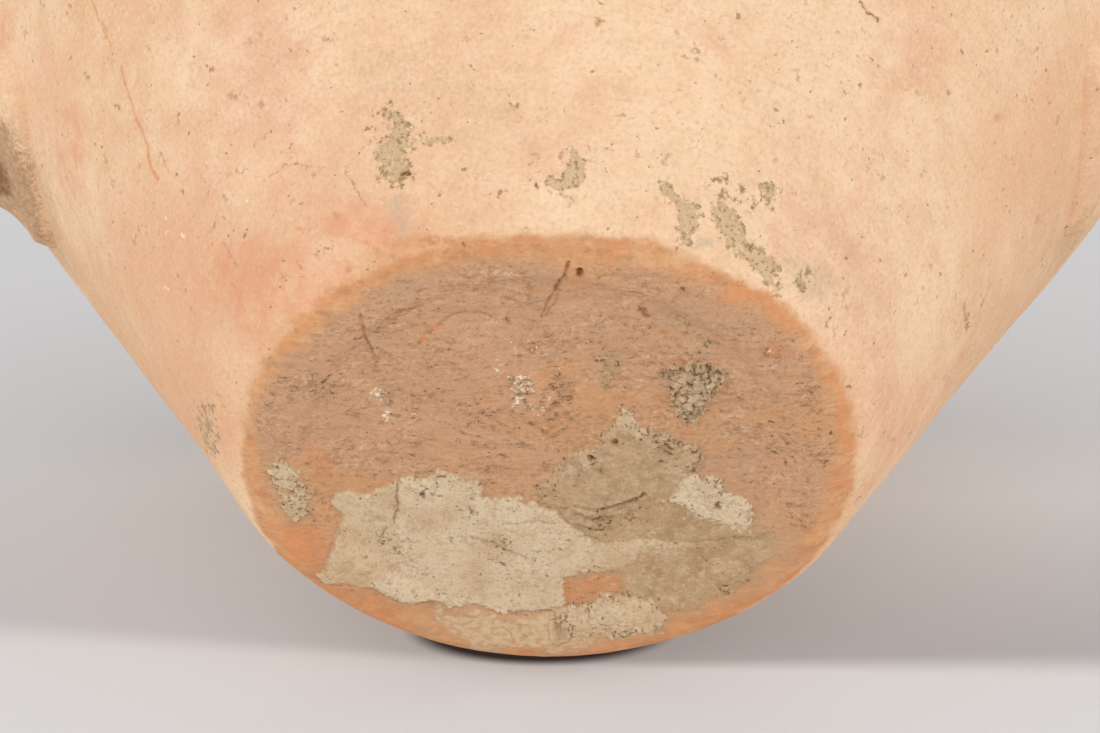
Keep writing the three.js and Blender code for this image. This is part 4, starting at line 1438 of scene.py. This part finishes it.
def scraped_ground(tree, clay, own, torn):
    """Brown-buff clay dragged flat: faint streaks, worn pink and grey spots and torn chips, whose
    brown is partly painted shade, with a painted highlight on their rims.
    """
    busy = add(tree, EASE, (own.zones, 0.42, 0.60, 0.35, 1.0))
    flakes = add(tree, PLUS, (own.flakes, (TIMES, torn, 0.14)))
    scuffs = (PLUS, own.mottle, (TIMES, torn, 0.10))
    chips = add(tree, EASE, (flakes, 0.67, 0.74))
    lit_lips = add(tree, EASE, (flakes, 0.61, 0.67))
    colour = layered(
        tree, SCRAPED,
        (SCRAPED_GREY, (EASE, own.tone, 0.50, 0.66, 0.0, 0.55)),
        (SCRAPED_PINK, (EASE, own.tone, 0.48, 0.34, 0.0, 0.45)),
        (SCRAPED_WARM, (EASE, own.warm, 0.50, 0.62, 0.0, 0.55)),
        (SCRAPED_DARK, (EASE, own.drag, 0.52, 0.66, 0.0, 0.26)),
        (SCRAPED_LIGHT, (EASE, own.drag, 0.46, 0.34, 0.0, 0.16)),
        (SCRAPED_DARK, busy, (EASE, own.mottle, 0.52, 0.66, 0.0, 0.55)),
        (SCRAPED_LIGHT, busy, (EASE, own.mottle, 0.45, 0.34, 0.0, 0.36)),
        (SCRAPED_DARK, busy, (EASE, clay.fine, 0.52, 0.66, 0.0, 0.66)),
        (SCRAPED_LIGHT, busy, (EASE, clay.fine, 0.45, 0.34, 0.0, 0.55)),
        (SCRAPED_DARK, (EASE, scuffs, 0.60, 0.68, 0.0, 0.6)),
        # A painted highlight on the chips' rims, and the chips' brown partly painted shade
        (SCRAPED_LIGHT, lit_lips, 0.55),
        (CHIP_BROWN, chips, 0.85))
    coarse = (PLUS, (TIMES, own.mottle, 0.9), (TIMES, clay.fine, 0.7))
    height = (PLUS, (PLUS, coarse, (TIMES, own.drag, 0.6)), (TIMES, lit_lips, 0.4))
    return colour, add(tree, MINUS, (height, (TIMES, chips, 0.5)))


def soil_film(tree, clay, soil):
    """Thin soil smeared on the clay, tan at its edge and paler where it is thick; the same soil
    marks also lay painted shade on the handle roots.
    """
    return [(SOIL_TAN, ragged(tree, soil, clay.sponge, 0.9, 0.20, 0.90, 0.85)),
            (SOIL_BODY, ragged(tree, soil, clay.sponge, 2.6, 0.85, 1.40, 0.9))]


def marked(tree, colour, clay, torn):
    """The band of the heel, the stains and the scratches, over the clay's own colour."""
    soil, bare, dark, chalk = painted(tree, "marks")
    olive, cool, heel, blush = painted(tree, "stains")
    stained = add(tree, EASE, (olive, 0.02, 0.25))
    film = add(tree, TIMES, (stained, ragged(tree, olive, clay.sponge, 3.4, 0.34, 0.80)))
    core = (TIMES, stained, ragged(tree, olive, clay.sponge, 3.4, 0.70, 1.20))
    band = ragged(tree, heel, clay.grain, 1.3, 0.15, 0.85)
    dots = (PLUS, clay.sponge, (TIMES, torn, 0.10))
    return layered(
        tree, colour,
        (BLUSH, blush, (EASE, clay.grain, 0.30, 0.68, 0.15, 0.85)),
        (HEEL_ORANGE, band, 0.95),
        (HEEL_RED, band, (EASE, clay.grain, 0.50, 0.66, 0.0, 0.45)),
        (HEEL_PALE, band, (EASE, clay.grain, 0.50, 0.36, 0.0, 0.5)),
        (SCRAPED_DARK, band, (EASE, clay.streaks, 0.52, 0.64, 0.0, 0.35)),
        (SCRAPED_DARK, band, (EASE, clay.sponge, 0.54, 0.68, 0.0, 0.35)),
        (HEEL_PALE, band, (EASE, clay.sponge, 0.45, 0.33, 0.0, 0.4)),
        (HEEL_PALE, band, (EASE, clay.streaks, 0.46, 0.36, 0.0, 0.4)),
        (BARE_CLAY, bare, (EASE, clay.fine, 0.25, 0.70, 0.45, 1.0)),
        *soil_film(tree, clay, soil),
        (COOL_GREY, ragged(tree, cool, clay.sponge, 1.4, 0.15, 1.20, 0.7)),
        (OLIVE_SOIL, film, 0.82),
        (OLIVE_DARK, film, (MINUS, 1.0, core), 0.28),
        (OLIVE_DARK, film, (EASE, clay.fine, 0.52, 0.64, 0.0, 0.75)),
        (OLIVE_DARK, film, (EASE, clay.sponge, 0.52, 0.64, 0.0, 0.5)),
        (SOIL_PALE, film, (EASE, clay.sponge, 0.45, 0.34, 0.0, 0.4)),
        (PORE_AND_SHADE_BROWN, (EASE, torn, 0.02, 0.2), (EASE, dots, 0.68, 0.74, 0.0, 0.6)),
        # Dark marks: pits and scratches, painted shade on the handle roots and painted shadow lines
        # along the soil crust's edges
        (PORE_AND_SHADE_BROWN, ragged(tree, dark, clay.fine, 1.0, 0.30, 0.95, 0.8)),
        (CHALK, ragged(tree, chalk, clay.fine, 2.0, 0.35, 0.75, 0.85)))


def over_face(tree, colour, clay):
    """The marks that lie on the scraped face."""
    soil, bare, dark, chalk = painted(tree, "marks")
    olive, cool, _, _ = painted(tree, "stains")
    return layered(
        tree, colour,
        (BARE_CLAY, bare, (EASE, clay.fine, 0.25, 0.70, 0.35, 0.9)),
        *soil_film(tree, clay, soil),
        (COOL_GREY, ragged(tree, cool, clay.sponge, 1.0, 0.20, 0.90, 0.7)),
        (OLIVE_SOIL, olive, ragged(tree, olive, clay.sponge, 1.6, 0.34, 0.62, 0.7)),
        # Dark marks on the face: pits and scratches, and painted shadow lines along the soil
        # crust's edges
        (PORE_AND_SHADE_BROWN, ragged(tree, dark, clay.fine, 1.0, 0.30, 0.95, 0.8)),
        (CHALK, ragged(tree, chalk, clay.fine, 4.6, 1.12, 1.45, 0.95)))


def earthenware(name, with_face=False, with_slip=False):
    """Coarse fired clay; where it says so, scraped on its foot or painted with burnished slip."""
    material, tree = start_material(name)
    clay = grains(tree, CLAY_GRAINS)
    face, torn, _, _ = painted(tree, "ground")
    colour, height = wiped_ground(tree, clay)
    colour = marked(tree, colour, clay, torn)
    relief_mm, specular, dullness = 0.2, 0.12, (0.74, 0.92)
    if with_face:
        own = grains(tree, SCRAPED_GRAINS)
        scraped, scraped_height = scraped_ground(tree, clay, own, torn)
        share = ragged(tree, face, own.edge, 1.1, 0.1, 0.9)
        colour = layered(tree, colour, (over_face(tree, scraped, clay), share))
        height = add(tree, "ShaderNodeMix", {0: share, 2: height, 3: scraped_height})
        relief_mm = 0.4
    if with_slip:
        brown, red, _, _ = painted(tree, "slip")
        worn = add(tree, EASE, (grains(tree, SLIP_GRAINS).wear, 0.60, 0.68, 1.0, 0.25))
        red, brown = (ragged(tree, slip, clay.grain, 1.6, -0.25, 0.35) for slip in (red, brown))
        colour = layered(tree, colour, (SLIP_RED, red, worn), (SLIP_BROWN, brown, worn))
        height = (PLUS, height, (TIMES, brown, 0.25))
        specular, dullness = 0.3, (0.44, 0.66)
    roughness = (EASE, clay.fine, 0.2, 0.8, *dullness)
    dress(tree, colour, roughness, height, relief_mm, specular)
    return material


def hardened_soil(name):
    """Burial soil bound by lime: gritty and pale on its plates, with painted shade in its creases,
    cracks and holes.
    """
    material, tree = start_material(name)
    own = grains(tree, SOIL_GRAINS)
    pale, thick, dark, crumbly = painted(tree, "crust")
    tone = add(tree, PLUS, (pale, own.grain))
    pits = add(tree, EASE, ((PLUS, own.holes, (TIMES, crumbly, 0.12)), 0.66, 0.72))
    colour = layered(
        tree, SOIL_DARK,
        (SOIL_BODY, (EASE, tone, 0.55, 1.05)),
        (SOIL_PALE, (EASE, tone, 1.1, 1.6, 0.0, 0.9)),
        (SOIL_TAN, (EASE, own.tan, 0.48, 0.62, 0.0, 0.5)),
        (SOIL_DARK, (EASE, own.sandy, 0.52, 0.66, 0.0, 0.45)),
        (SOIL_PALE, (EASE, own.sandy, 0.46, 0.34, 0.0, 0.35)),
        (SOIL_DARK, (EASE, own.fine, 0.52, 0.66, 0.0, 0.50)),
        (SOIL_PALE, (EASE, own.fine, 0.44, 0.34, 0.0, 0.35)),
        (SOIL_SMEAR, ragged(tree, (MINUS, 1.0, thick), own.sandy, 1.0, 0.45, 1.0, 0.85)),
        # Painted shade in the soil's holes, and in its creases and cracks
        (SOIL_HOLLOW_SHADE, pits, 0.65),
        (SOIL_HOLLOW_SHADE, dark, (EASE, own.fine, 0.3, 0.6, 0.35, 1.0), 0.9))
    height = (MINUS, (PLUS, (TIMES, own.sandy, 1.2), own.fine), (TIMES, pits, 0.4))
    dress(tree, colour, 0.95, height, relief_mm=0.3, specular=0.06)
    return material


# Geometry node trees

def new_tree(name, sizes):
    """A geometry tree with named inputs, and the sockets that they give."""
    tree = bpy.data.node_groups.new(name, "GeometryNodeTree")
    tree.interface.new_socket("Geometry", in_out="INPUT", socket_type="NodeSocketGeometry")
    for label, kind in sizes.items():
        tree.interface.new_socket(label, in_out="INPUT", socket_type=kind)
    tree.interface.new_socket("Geometry", in_out="OUTPUT", socket_type="NodeSocketGeometry")
    return tree, tree.nodes.new("NodeGroupInput").outputs


def end_tree(tree, geometry, material):
    real = add(tree, "GeometryNodeRealizeInstances", (geometry,))
    dressed = add(tree, "GeometryNodeSetMaterial", {"Geometry": real, "Material": material})
    add(tree, "NodeGroupOutput", (dressed,))


def grown(name, tree, values, source=None):
    """The plain mesh that a tree makes."""
    holder = new_object(f"{name}_holder", source or bpy.data.meshes.new(f"{name}_seed"))
    modifier = holder.modifiers.new(name, "NODES")
    modifier.node_group = tree
    for item in tree.interface.items_tree:
        if item.in_out == "INPUT" and item.name in values:
            modifier[item.identifier] = values[item.name]
    evaluated = holder.evaluated_get(bpy.context.evaluated_depsgraph_get())
    mesh = bpy.data.meshes.new_from_object(evaluated)
    mesh.name = name
    holder.modifiers.remove(modifier)
    bpy.data.objects.remove(holder)
    return mesh


HANDLE_SPAN = 58.0
HANDLE_DROP = 29.0
LOWER_REACH = 58.0
UPPER_REACH = 40.0
HANDLE_LIFT = 8.0
HANDLE_WIDTH = 30.0
HANDLE_THICKNESS = 9.0
ROOT_WIDTH = 46.0
ROOT_THICKNESS = 16.0
ROOT_DEPTH = 9.0
SECTION_SQUARE_SHARE = 0.62
SPREAD_POWER = 4.0
STRAP_STEPS = 150
STRAP_SIDES = 120
STRAP_END = 0.9999
ARCH_RESOLUTION = 96
MERGE_DISTANCE = 0.002
ROOT_FILLET = 7.0
ROOT_SWELL = 4.5
THUMB_DENTS = (0.35, 9.0)


def strap_tree():
    """A strap along an arch in the plane of X and Z, wider and thicker towards its roots."""
    ends = ("Start", "Start Handle", "End Handle", "End")
    floats = ("Width", "Thickness", "Root Width", "Root Thickness", "Square", "Spread")
    sizes = dict.fromkeys(ends, "NodeSocketVector") | dict.fromkeys(floats, "NodeSocketFloat")
    sizes |= {"Steps": "NodeSocketInt", "Sides": "NodeSocketInt", "Material": "NodeSocketMaterial"}
    tree, given = new_tree("strap_handle", sizes)
    arch = add(tree, "GeometryNodeCurvePrimitiveBezierSegment", {
        "Resolution": ARCH_RESOLUTION, **{label: given[label] for label in ends}})
    sheet = add(tree, "GeometryNodeMeshGrid", {
        "Size X": 1.0, "Size Y": 1.0, "Vertices X": given["Steps"], "Vertices Y": given["Sides"]})
    spot = add(tree, "ShaderNodeSeparateXYZ", (("GeometryNodeInputPosition",),)).node.outputs
    read = add(tree, "GeometryNodeSampleCurve", {
        "Curves": arch, "Factor": (PLUS, spot["X"], 0.5)}, mode="FACTOR").node.outputs
    end = add(tree, SIZE, ((TIMES, spot["X"], 2.0),))
    spread = add(tree, POWER, (end, given["Spread"]))
    # The two end rows shrink to a point, which closes the strap
    closed = add(tree, "ShaderNodeMath", (end, STRAP_END), operation="LESS_THAN")
    turn = add(tree, TIMES, (spot["Y"], FULL_TURN))
    reaches = []
    for wave, middle in (("COSINE", "Width"), ("SINE", "Thickness")):
        size = add(tree, "ShaderNodeMix", {
            0: spread, 2: given[middle], 3: given[f"Root {middle}"]})
        side = add(tree, "ShaderNodeMath", (turn,), operation=wave)
        sign = add(tree, "ShaderNodeMath", (side,), operation="SIGN")
        squared = (TIMES, (POWER, (SIZE, side), given["Square"]), sign)
        reaches.append(add(tree, TIMES, (squared, (TIMES, (TIMES, size, 0.5), closed))))
    outwards = add(tree, "ShaderNodeVectorMath", ((0.0, 1.0, 0.0), read["Tangent"]),
                   operation="CROSS_PRODUCT")
    raised = add(tree, "ShaderNodeVectorMath", {0: outwards, "Scale": reaches[1]},
                 operation="SCALE")
    sideways = add(tree, "ShaderNodeCombineXYZ", {"Y": reaches[0]})
    offset = ("ShaderNodeVectorMath", raised, sideways)
    swept = add(tree, "GeometryNodeSetPosition", {
        "Geometry": sheet, "Position": ("ShaderNodeVectorMath", read["Position"], offset)})
    joined = add(tree, "GeometryNodeMergeByDistance", {
        "Geometry": swept, "Distance": MERGE_DISTANCE * MM})
    end_tree(tree, joined, given["Material"])
    return tree


def strap_values(material):
    upper = BELLY_HEIGHT - HANDLE_DROP
    start, end = (np.array((JAR_LINE.radius_at(height) - ROOT_DEPTH, 0.0, height))
                  for height in (upper - HANDLE_SPAN, upper))
    places = {"Start": start, "Start Handle": start + (LOWER_REACH, 0, 0),
              "End Handle": end + (UPPER_REACH, 0, HANDLE_LIFT), "End": end}
    lengths = {"Width": HANDLE_WIDTH, "Thickness": HANDLE_THICKNESS, "Root Width": ROOT_WIDTH,
               "Root Thickness": ROOT_THICKNESS}
    values = {label: [float(v) * MM for v in point] for label, point in places.items()}
    values |= {label: length * MM for label, length in lengths.items()}
    return values | {"Square": SECTION_SQUARE_SHARE, "Spread": SPREAD_POWER,
                     "Steps": STRAP_STEPS, "Sides": STRAP_SIDES, "Material": material}


def wall_clearance(points):
    """How far points stand off the wall, measured square to it."""
    return (around(points)[0] - JAR_LINE.radius_at(points[:, 2])) * math.cos(WALL_LEAN)


def vertex_vectors(mesh, name):
    """The places or the normals of a mesh's vertices."""
    values = np.empty(len(mesh.vertices) * 3, np.float32)
    mesh.vertices.foreach_get(name, values)
    return values.reshape(-1, 3).astype(float)


def add_handles(material):
    """Two strap handles, their roots smeared out on the wall by a thumb."""
    tree = strap_tree()
    for name, side in (("handle_right", 1), ("handle_left", -1)):
        mesh = grown(name, tree, strap_values(material))
        points, normals = vertex_vectors(mesh, "co") / MM, vertex_vectors(mesh, "normal")
        swell = ROOT_SWELL * (1 - np.clip(wall_clearance(points) / ROOT_FILLET, 0, 1)) ** 2
        points += normals * swell[:, None]
        skin = Skin(points * (side, side, 1), normals * (side, side, 1))
        skin.height += unevenness(skin.points, THUMB_DENTS, 40, 1) + clay_relief(skin.points)
        mark_wall(skin)
        points = skin.points + skin.normals * skin.height[:, None]
        mesh.vertices.foreach_set("co", (points * MM).astype(np.float32).ravel())
        mesh.update()
        mesh.polygons.foreach_set("use_smooth", np.ones(len(mesh.polygons), bool))
        write_skin(mesh, skin.paint, skin.slip)
        place(f"{name}_strap", mesh, material, "wall_clay", [name])


CRUMB_SPACING = 1.5
CRUMB_DENSITY = 60000.0
CRUMB_SIZES = (0.16, 0.5)
CRUMB_FLATNESS = 0.7
CRUMB_SPIN = 6.28
# Crumbs lie where the soil's normal points down by more than this
CRUMB_FACING = -0.3


def crumb_tree():
    """Grains of soil scattered over the faces that look down."""
    floats = ("Density", "Spacing", "Smallest", "Largest")
    sizes = dict.fromkeys(floats, "NodeSocketFloat")
    sizes |= {"Seed": "NodeSocketInt", "Material": "NodeSocketMaterial"}
    tree, given = new_tree("soil_crumbs", sizes)
    facing = add(tree, "ShaderNodeSeparateXYZ", (("GeometryNodeInputNormal",),), "Z")
    shown = add(tree, "FunctionNodeCompare", (facing, CRUMB_FACING), operation="LESS_THAN")
    points = add(tree, "GeometryNodeDistributePointsOnFaces", {
        "Mesh": given["Geometry"], "Selection": shown, "Distance Min": given["Spacing"],
        "Density Max": given["Density"], "Seed": given["Seed"]}, distribute_method="POISSON")
    grain = add(tree, "GeometryNodeMeshIcoSphere", {"Radius": 1.0, "Subdivisions": 1})
    size = add(tree, "FunctionNodeRandomValue", {
        2: given["Smallest"], 3: given["Largest"], 8: given["Seed"]}, 1)
    spin = add(tree, "FunctionNodeRandomValue", {
        0: (0, 0, 0), 1: [CRUMB_SPIN] * 3, 8: given["Seed"]}, data_type="FLOAT_VECTOR")
    scale = ("ShaderNodeCombineXYZ", size, size, (TIMES, size, CRUMB_FLATNESS))
    grains_laid = add(tree, "GeometryNodeInstanceOnPoints", {
        "Points": points, "Instance": grain, "Rotation": spin, "Scale": scale})
    end_tree(tree, grains_laid, given["Material"])
    return tree


def add_crumbs(material):
    tree = crumb_tree()
    smallest, largest = CRUMB_SIZES
    values = {"Density": CRUMB_DENSITY, "Spacing": CRUMB_SPACING * MM, "Smallest": smallest * MM,
              "Largest": largest * MM, "Seed": SEED, "Material": material}
    for name in ("soil_crust_main", "soil_crust_lump"):
        source = bpy.data.objects[f"{name}_skin"].data.copy()
        mesh = grown(f"{name}_crumbs", tree, values, source)
        place(f"{name}_crumbs", mesh, material, "soil")


# Floor, light and background

FLOOR_SIZE = 9.0
FLOOR_LEAN = math.radians(29.2)
FLOOR_GAP = 0.1
# A painted contact shadow: a dark oval on the floor under the heel
CONTACT_EDGE_PIXELS = [(450.0, 662.0), (640.0, 664.0)]
CONTACT_MIDDLE_PIXEL = (537.0, 655.0)
CONTACT_HALF_WIDTH = 26.0
CONTACT_HALF_DEPTH = 20.0
CONTACT_SOFTNESS = 0.13
CONTACT_STRENGTH = 0.95
SHADE_PIXELS = [(250.0, 600.0), (900.0, 600.0)]
FLOOR_EDGE_LEFT = [(0.0, 629.0), (540.0, 664.0)]
FLOOR_EDGE_RIGHT = [(540.0, 664.0), (1100.0, 664.0)]
FLOOR_EDGE_SOFTNESS = 2.6
FLOOR_EDGE_SPREAD = 0.06
FLOOR_EDGE_BEND = 8.0
FLOOR_MIDDLE_PIXEL = (550.0, 500.0)
FLOOR_FAR_PIXEL = (550.0, 300.0)
FLOOR_GLOW = 0.3
WORLD_STRENGTH = 0.55
LAMPS = {
    # power in watts, size, place
    "lamp_above": (3.2, 0.8, (0.0, -1.26, -0.6)),
    "lamp_left": (5.0, 0.8, (-1.15, -0.6, -0.55)),
    "lamp_right": (5.0, 0.8, (1.15, -0.6, -0.55)),
    "lamp_low": (3.0, 0.7, (0.0, -0.35, -1.3)),
    "lamp_behind": (5.0, 1.2, (0.3, 1.5, 0.8)),
}


def floor_axes():
    """A point of the surface that the jar lies on, its direction away and its normal."""
    away = np.array((0.0, math.sin(FLOOR_LEAN), math.cos(FLOOR_LEAN)))
    normal = np.array((0.0, -math.cos(FLOOR_LEAN), math.sin(FLOOR_LEAN)))
    under_jar = (JAR_LINE.points @ (-normal[1:])).max() + FLOOR_GAP
    return -under_jar * normal, away, normal


def floor_place(x, y):
    """Where the camera sees the floor at a pixel."""
    point, _, normal = floor_axes()
    ray = photo_ray(x, y)
    return CAMERA_PLACE + ray * ((point - CAMERA_PLACE) @ normal) / (ray @ normal)


def background_ray(tree):
    """One for the rays that show a background, and nought for those that light the jar."""
    path = add(tree, "ShaderNodeLightPath").node.outputs
    seen = (LARGER, path["Is Camera Ray"], path["Is Glossy Ray"])
    return add(tree, LARGER, (seen, path["Is Transmission Ray"]))


def line_on_floor(pixels):
    """Start of a line between two pixels on the floor, and the way square to it that leads off."""
    left, right = (floor_place(*pixel) for pixel in pixels)
    onwards = np.cross(floor_axes()[2], right - left)
    return left, onwards * np.sign(onwards[2]) / np.linalg.norm(onwards)


def beyond(tree, where, pixels):
    """Distance past a line on the floor."""
    start, onwards = line_on_floor(pixels)
    run = add(tree, "ShaderNodeVectorMath", (where, tuple(float(v) for v in onwards)), "Value",
              operation="DOT_PRODUCT")
    return add(tree, MINUS, (run, float(start @ onwards) * MM))


def floor_paper():
    """Matt paper: pale in front, duller behind a soft bent edge, and clear from behind. Painted
    shade darkens it towards the jar and on its right, and a painted contact shadow lies under the
    heel.
    """
    material, tree = start_material("floor_paper_matt")
    where = add(tree, "ShaderNodeTexCoord", out="Object")
    edges = [beyond(tree, where, pixels) for pixels in (FLOOR_EDGE_LEFT, FLOOR_EDGE_RIGHT)]
    run = add(tree, "ShaderNodeMath", (*edges, FLOOR_EDGE_BEND * MM), operation="SMOOTH_MIN")
    start, onwards = line_on_floor(FLOOR_EDGE_RIGHT)
    middle, far = (float((floor_place(*pixel) - start) @ onwards) * MM
                   for pixel in (FLOOR_MIDDLE_PIXEL, FLOOR_FAR_PIXEL))
    across = add(tree, "ShaderNodeSeparateXYZ", (where,), "X")
    shade_from, shade_to, contact_x = (
        float(floor_place(*pixel)[0]) * MM for pixel in (*SHADE_PIXELS, CONTACT_MIDDLE_PIXEL))
    under = beyond(tree, where, CONTACT_EDGE_PIXELS)
    aside = (TIMES, (MINUS, across, contact_x), 1 / (CONTACT_HALF_WIDTH * MM))
    deep = (MINUS, (TIMES, under, 1 / (CONTACT_HALF_DEPTH * MM)), 1.0)
    oval = add(tree, "ShaderNodeVectorMath", (("ShaderNodeCombineXYZ", aside, deep),), "Value",
               operation="LENGTH")
    seen = background_ray(tree)
    shade = (EASE, oval, 1 + CONTACT_SOFTNESS, 1 - CONTACT_SOFTNESS, 0.0, CONTACT_STRENGTH)
    spread = (TIMES, (SIZE, across), FLOOR_EDGE_SPREAD)
    soft = add(tree, PLUS, (spread, FLOOR_EDGE_SOFTNESS * MM))
    # Painted shade: the floor is darker towards the jar and on its right
    colour = layered(
        tree, FLOOR_NEAR,
        (FLOOR_SHADE, (EASE, across, shade_from, shade_to)),
        (FLOOR_MIDDLE, ("ShaderNodeMapRange", run, 0.0, middle)),
        (FLOOR_FAR, ("ShaderNodeMapRange", run, middle, far)),
        (FLOOR_FRONT, (EASE, run, soft, (TIMES, soft, -1.0))),
        # The painted contact shadow, only for the rays that show the floor
        (CONTACT_SHADE, seen, shade))
    matt = add(tree, "ShaderNodeBsdfDiffuse", {"Color": colour})
    glow = add(tree, "ShaderNodeEmission", {"Color": colour, "Strength": 1.0})
    lit = add(tree, "ShaderNodeMixShader", ((TIMES, seen, FLOOR_GLOW), matt, glow))
    behind = add(tree, "ShaderNodeNewGeometry", out="Backfacing")
    shown = add(tree, "ShaderNodeMixShader", (behind, lit, ("ShaderNodeBsdfTransparent",)))
    add(tree, "ShaderNodeOutputMaterial", {"Surface": shown})
    return material


def add_floor():
    point, away, normal = floor_axes()
    half = FLOOR_SIZE / 2 / MM
    sideways = np.array((1.0, 0.0, 0.0))
    corners = [point + a * half * sideways + b * half * away
               for a, b in ((-1, -1), (1, -1), (1, 1), (-1, 1))]
    mesh = new_mesh("floor", np.array(corners), [np.array([[0, 1, 2, 3]])])
    if mesh.polygons[0].normal @ Vector(normal) < 0:
        mesh.flip_normals()
    mesh.materials.append(floor_paper())
    floor = new_object("floor", mesh)
    floor.visible_shadow = False


def add_light():
    """An even white surround, plain soft lamps round the jar, and a pale backdrop to look at."""
    world = bpy.data.worlds.new("studio")
    bpy.context.scene.world = world
    world.use_nodes = True
    tree = world.node_tree
    tree.nodes.clear()
    even = add(tree, "ShaderNodeBackground", {"Color": (1, 1, 1, 1), "Strength": WORLD_STRENGTH})
    backdrop = add(tree, "ShaderNodeBackground", {"Color": linear(BACKDROP), "Strength": 1.0})
    shown = add(tree, "ShaderNodeMixShader", (background_ray(tree), even, backdrop))
    add(tree, "ShaderNodeOutputWorld", (shown,))
    for name, (power, size, place) in LAMPS.items():
        data = bpy.data.lights.new(name, "AREA")
        data.energy = power
        data.size = size
        lamp = new_object(name, data)
        lamp.location = place
        lamp.rotation_euler = (-Vector(place)).to_track_quat("-Z", "Y").to_euler()
    bpy.context.scene.view_settings.view_transform = "Standard"


add_camera()
# Wiped smooth by a wet hand: cream, with rosy clouds and fine grit
wall_clay = earthenware("earthenware_smoothed")
# Dragged flat and rubbed: brown and torn on the face, orange on the heel
foot_clay = earthenware("earthenware_scraped_and_worn", with_face=True)
# Painted and rubbed with a pebble: dark brown and red lines with a faint sheen, worn in spots
slip_clay = earthenware("earthenware_burnished_slip_painted", with_slip=True)
# Set hard in the ground: a pale, dead matt crust that breaks up into crumbs
soil = hardened_soil("burial_soil_hardened")
add_base(foot_clay)
add_heel(foot_clay)
add_coils(wall_clay, slip_clay)
add_neck(slip_clay)
add_rim(slip_clay)
add_handles(wall_clay)
add_crusts(soil)
add_crumbs(soil)
add_floor()
add_light()
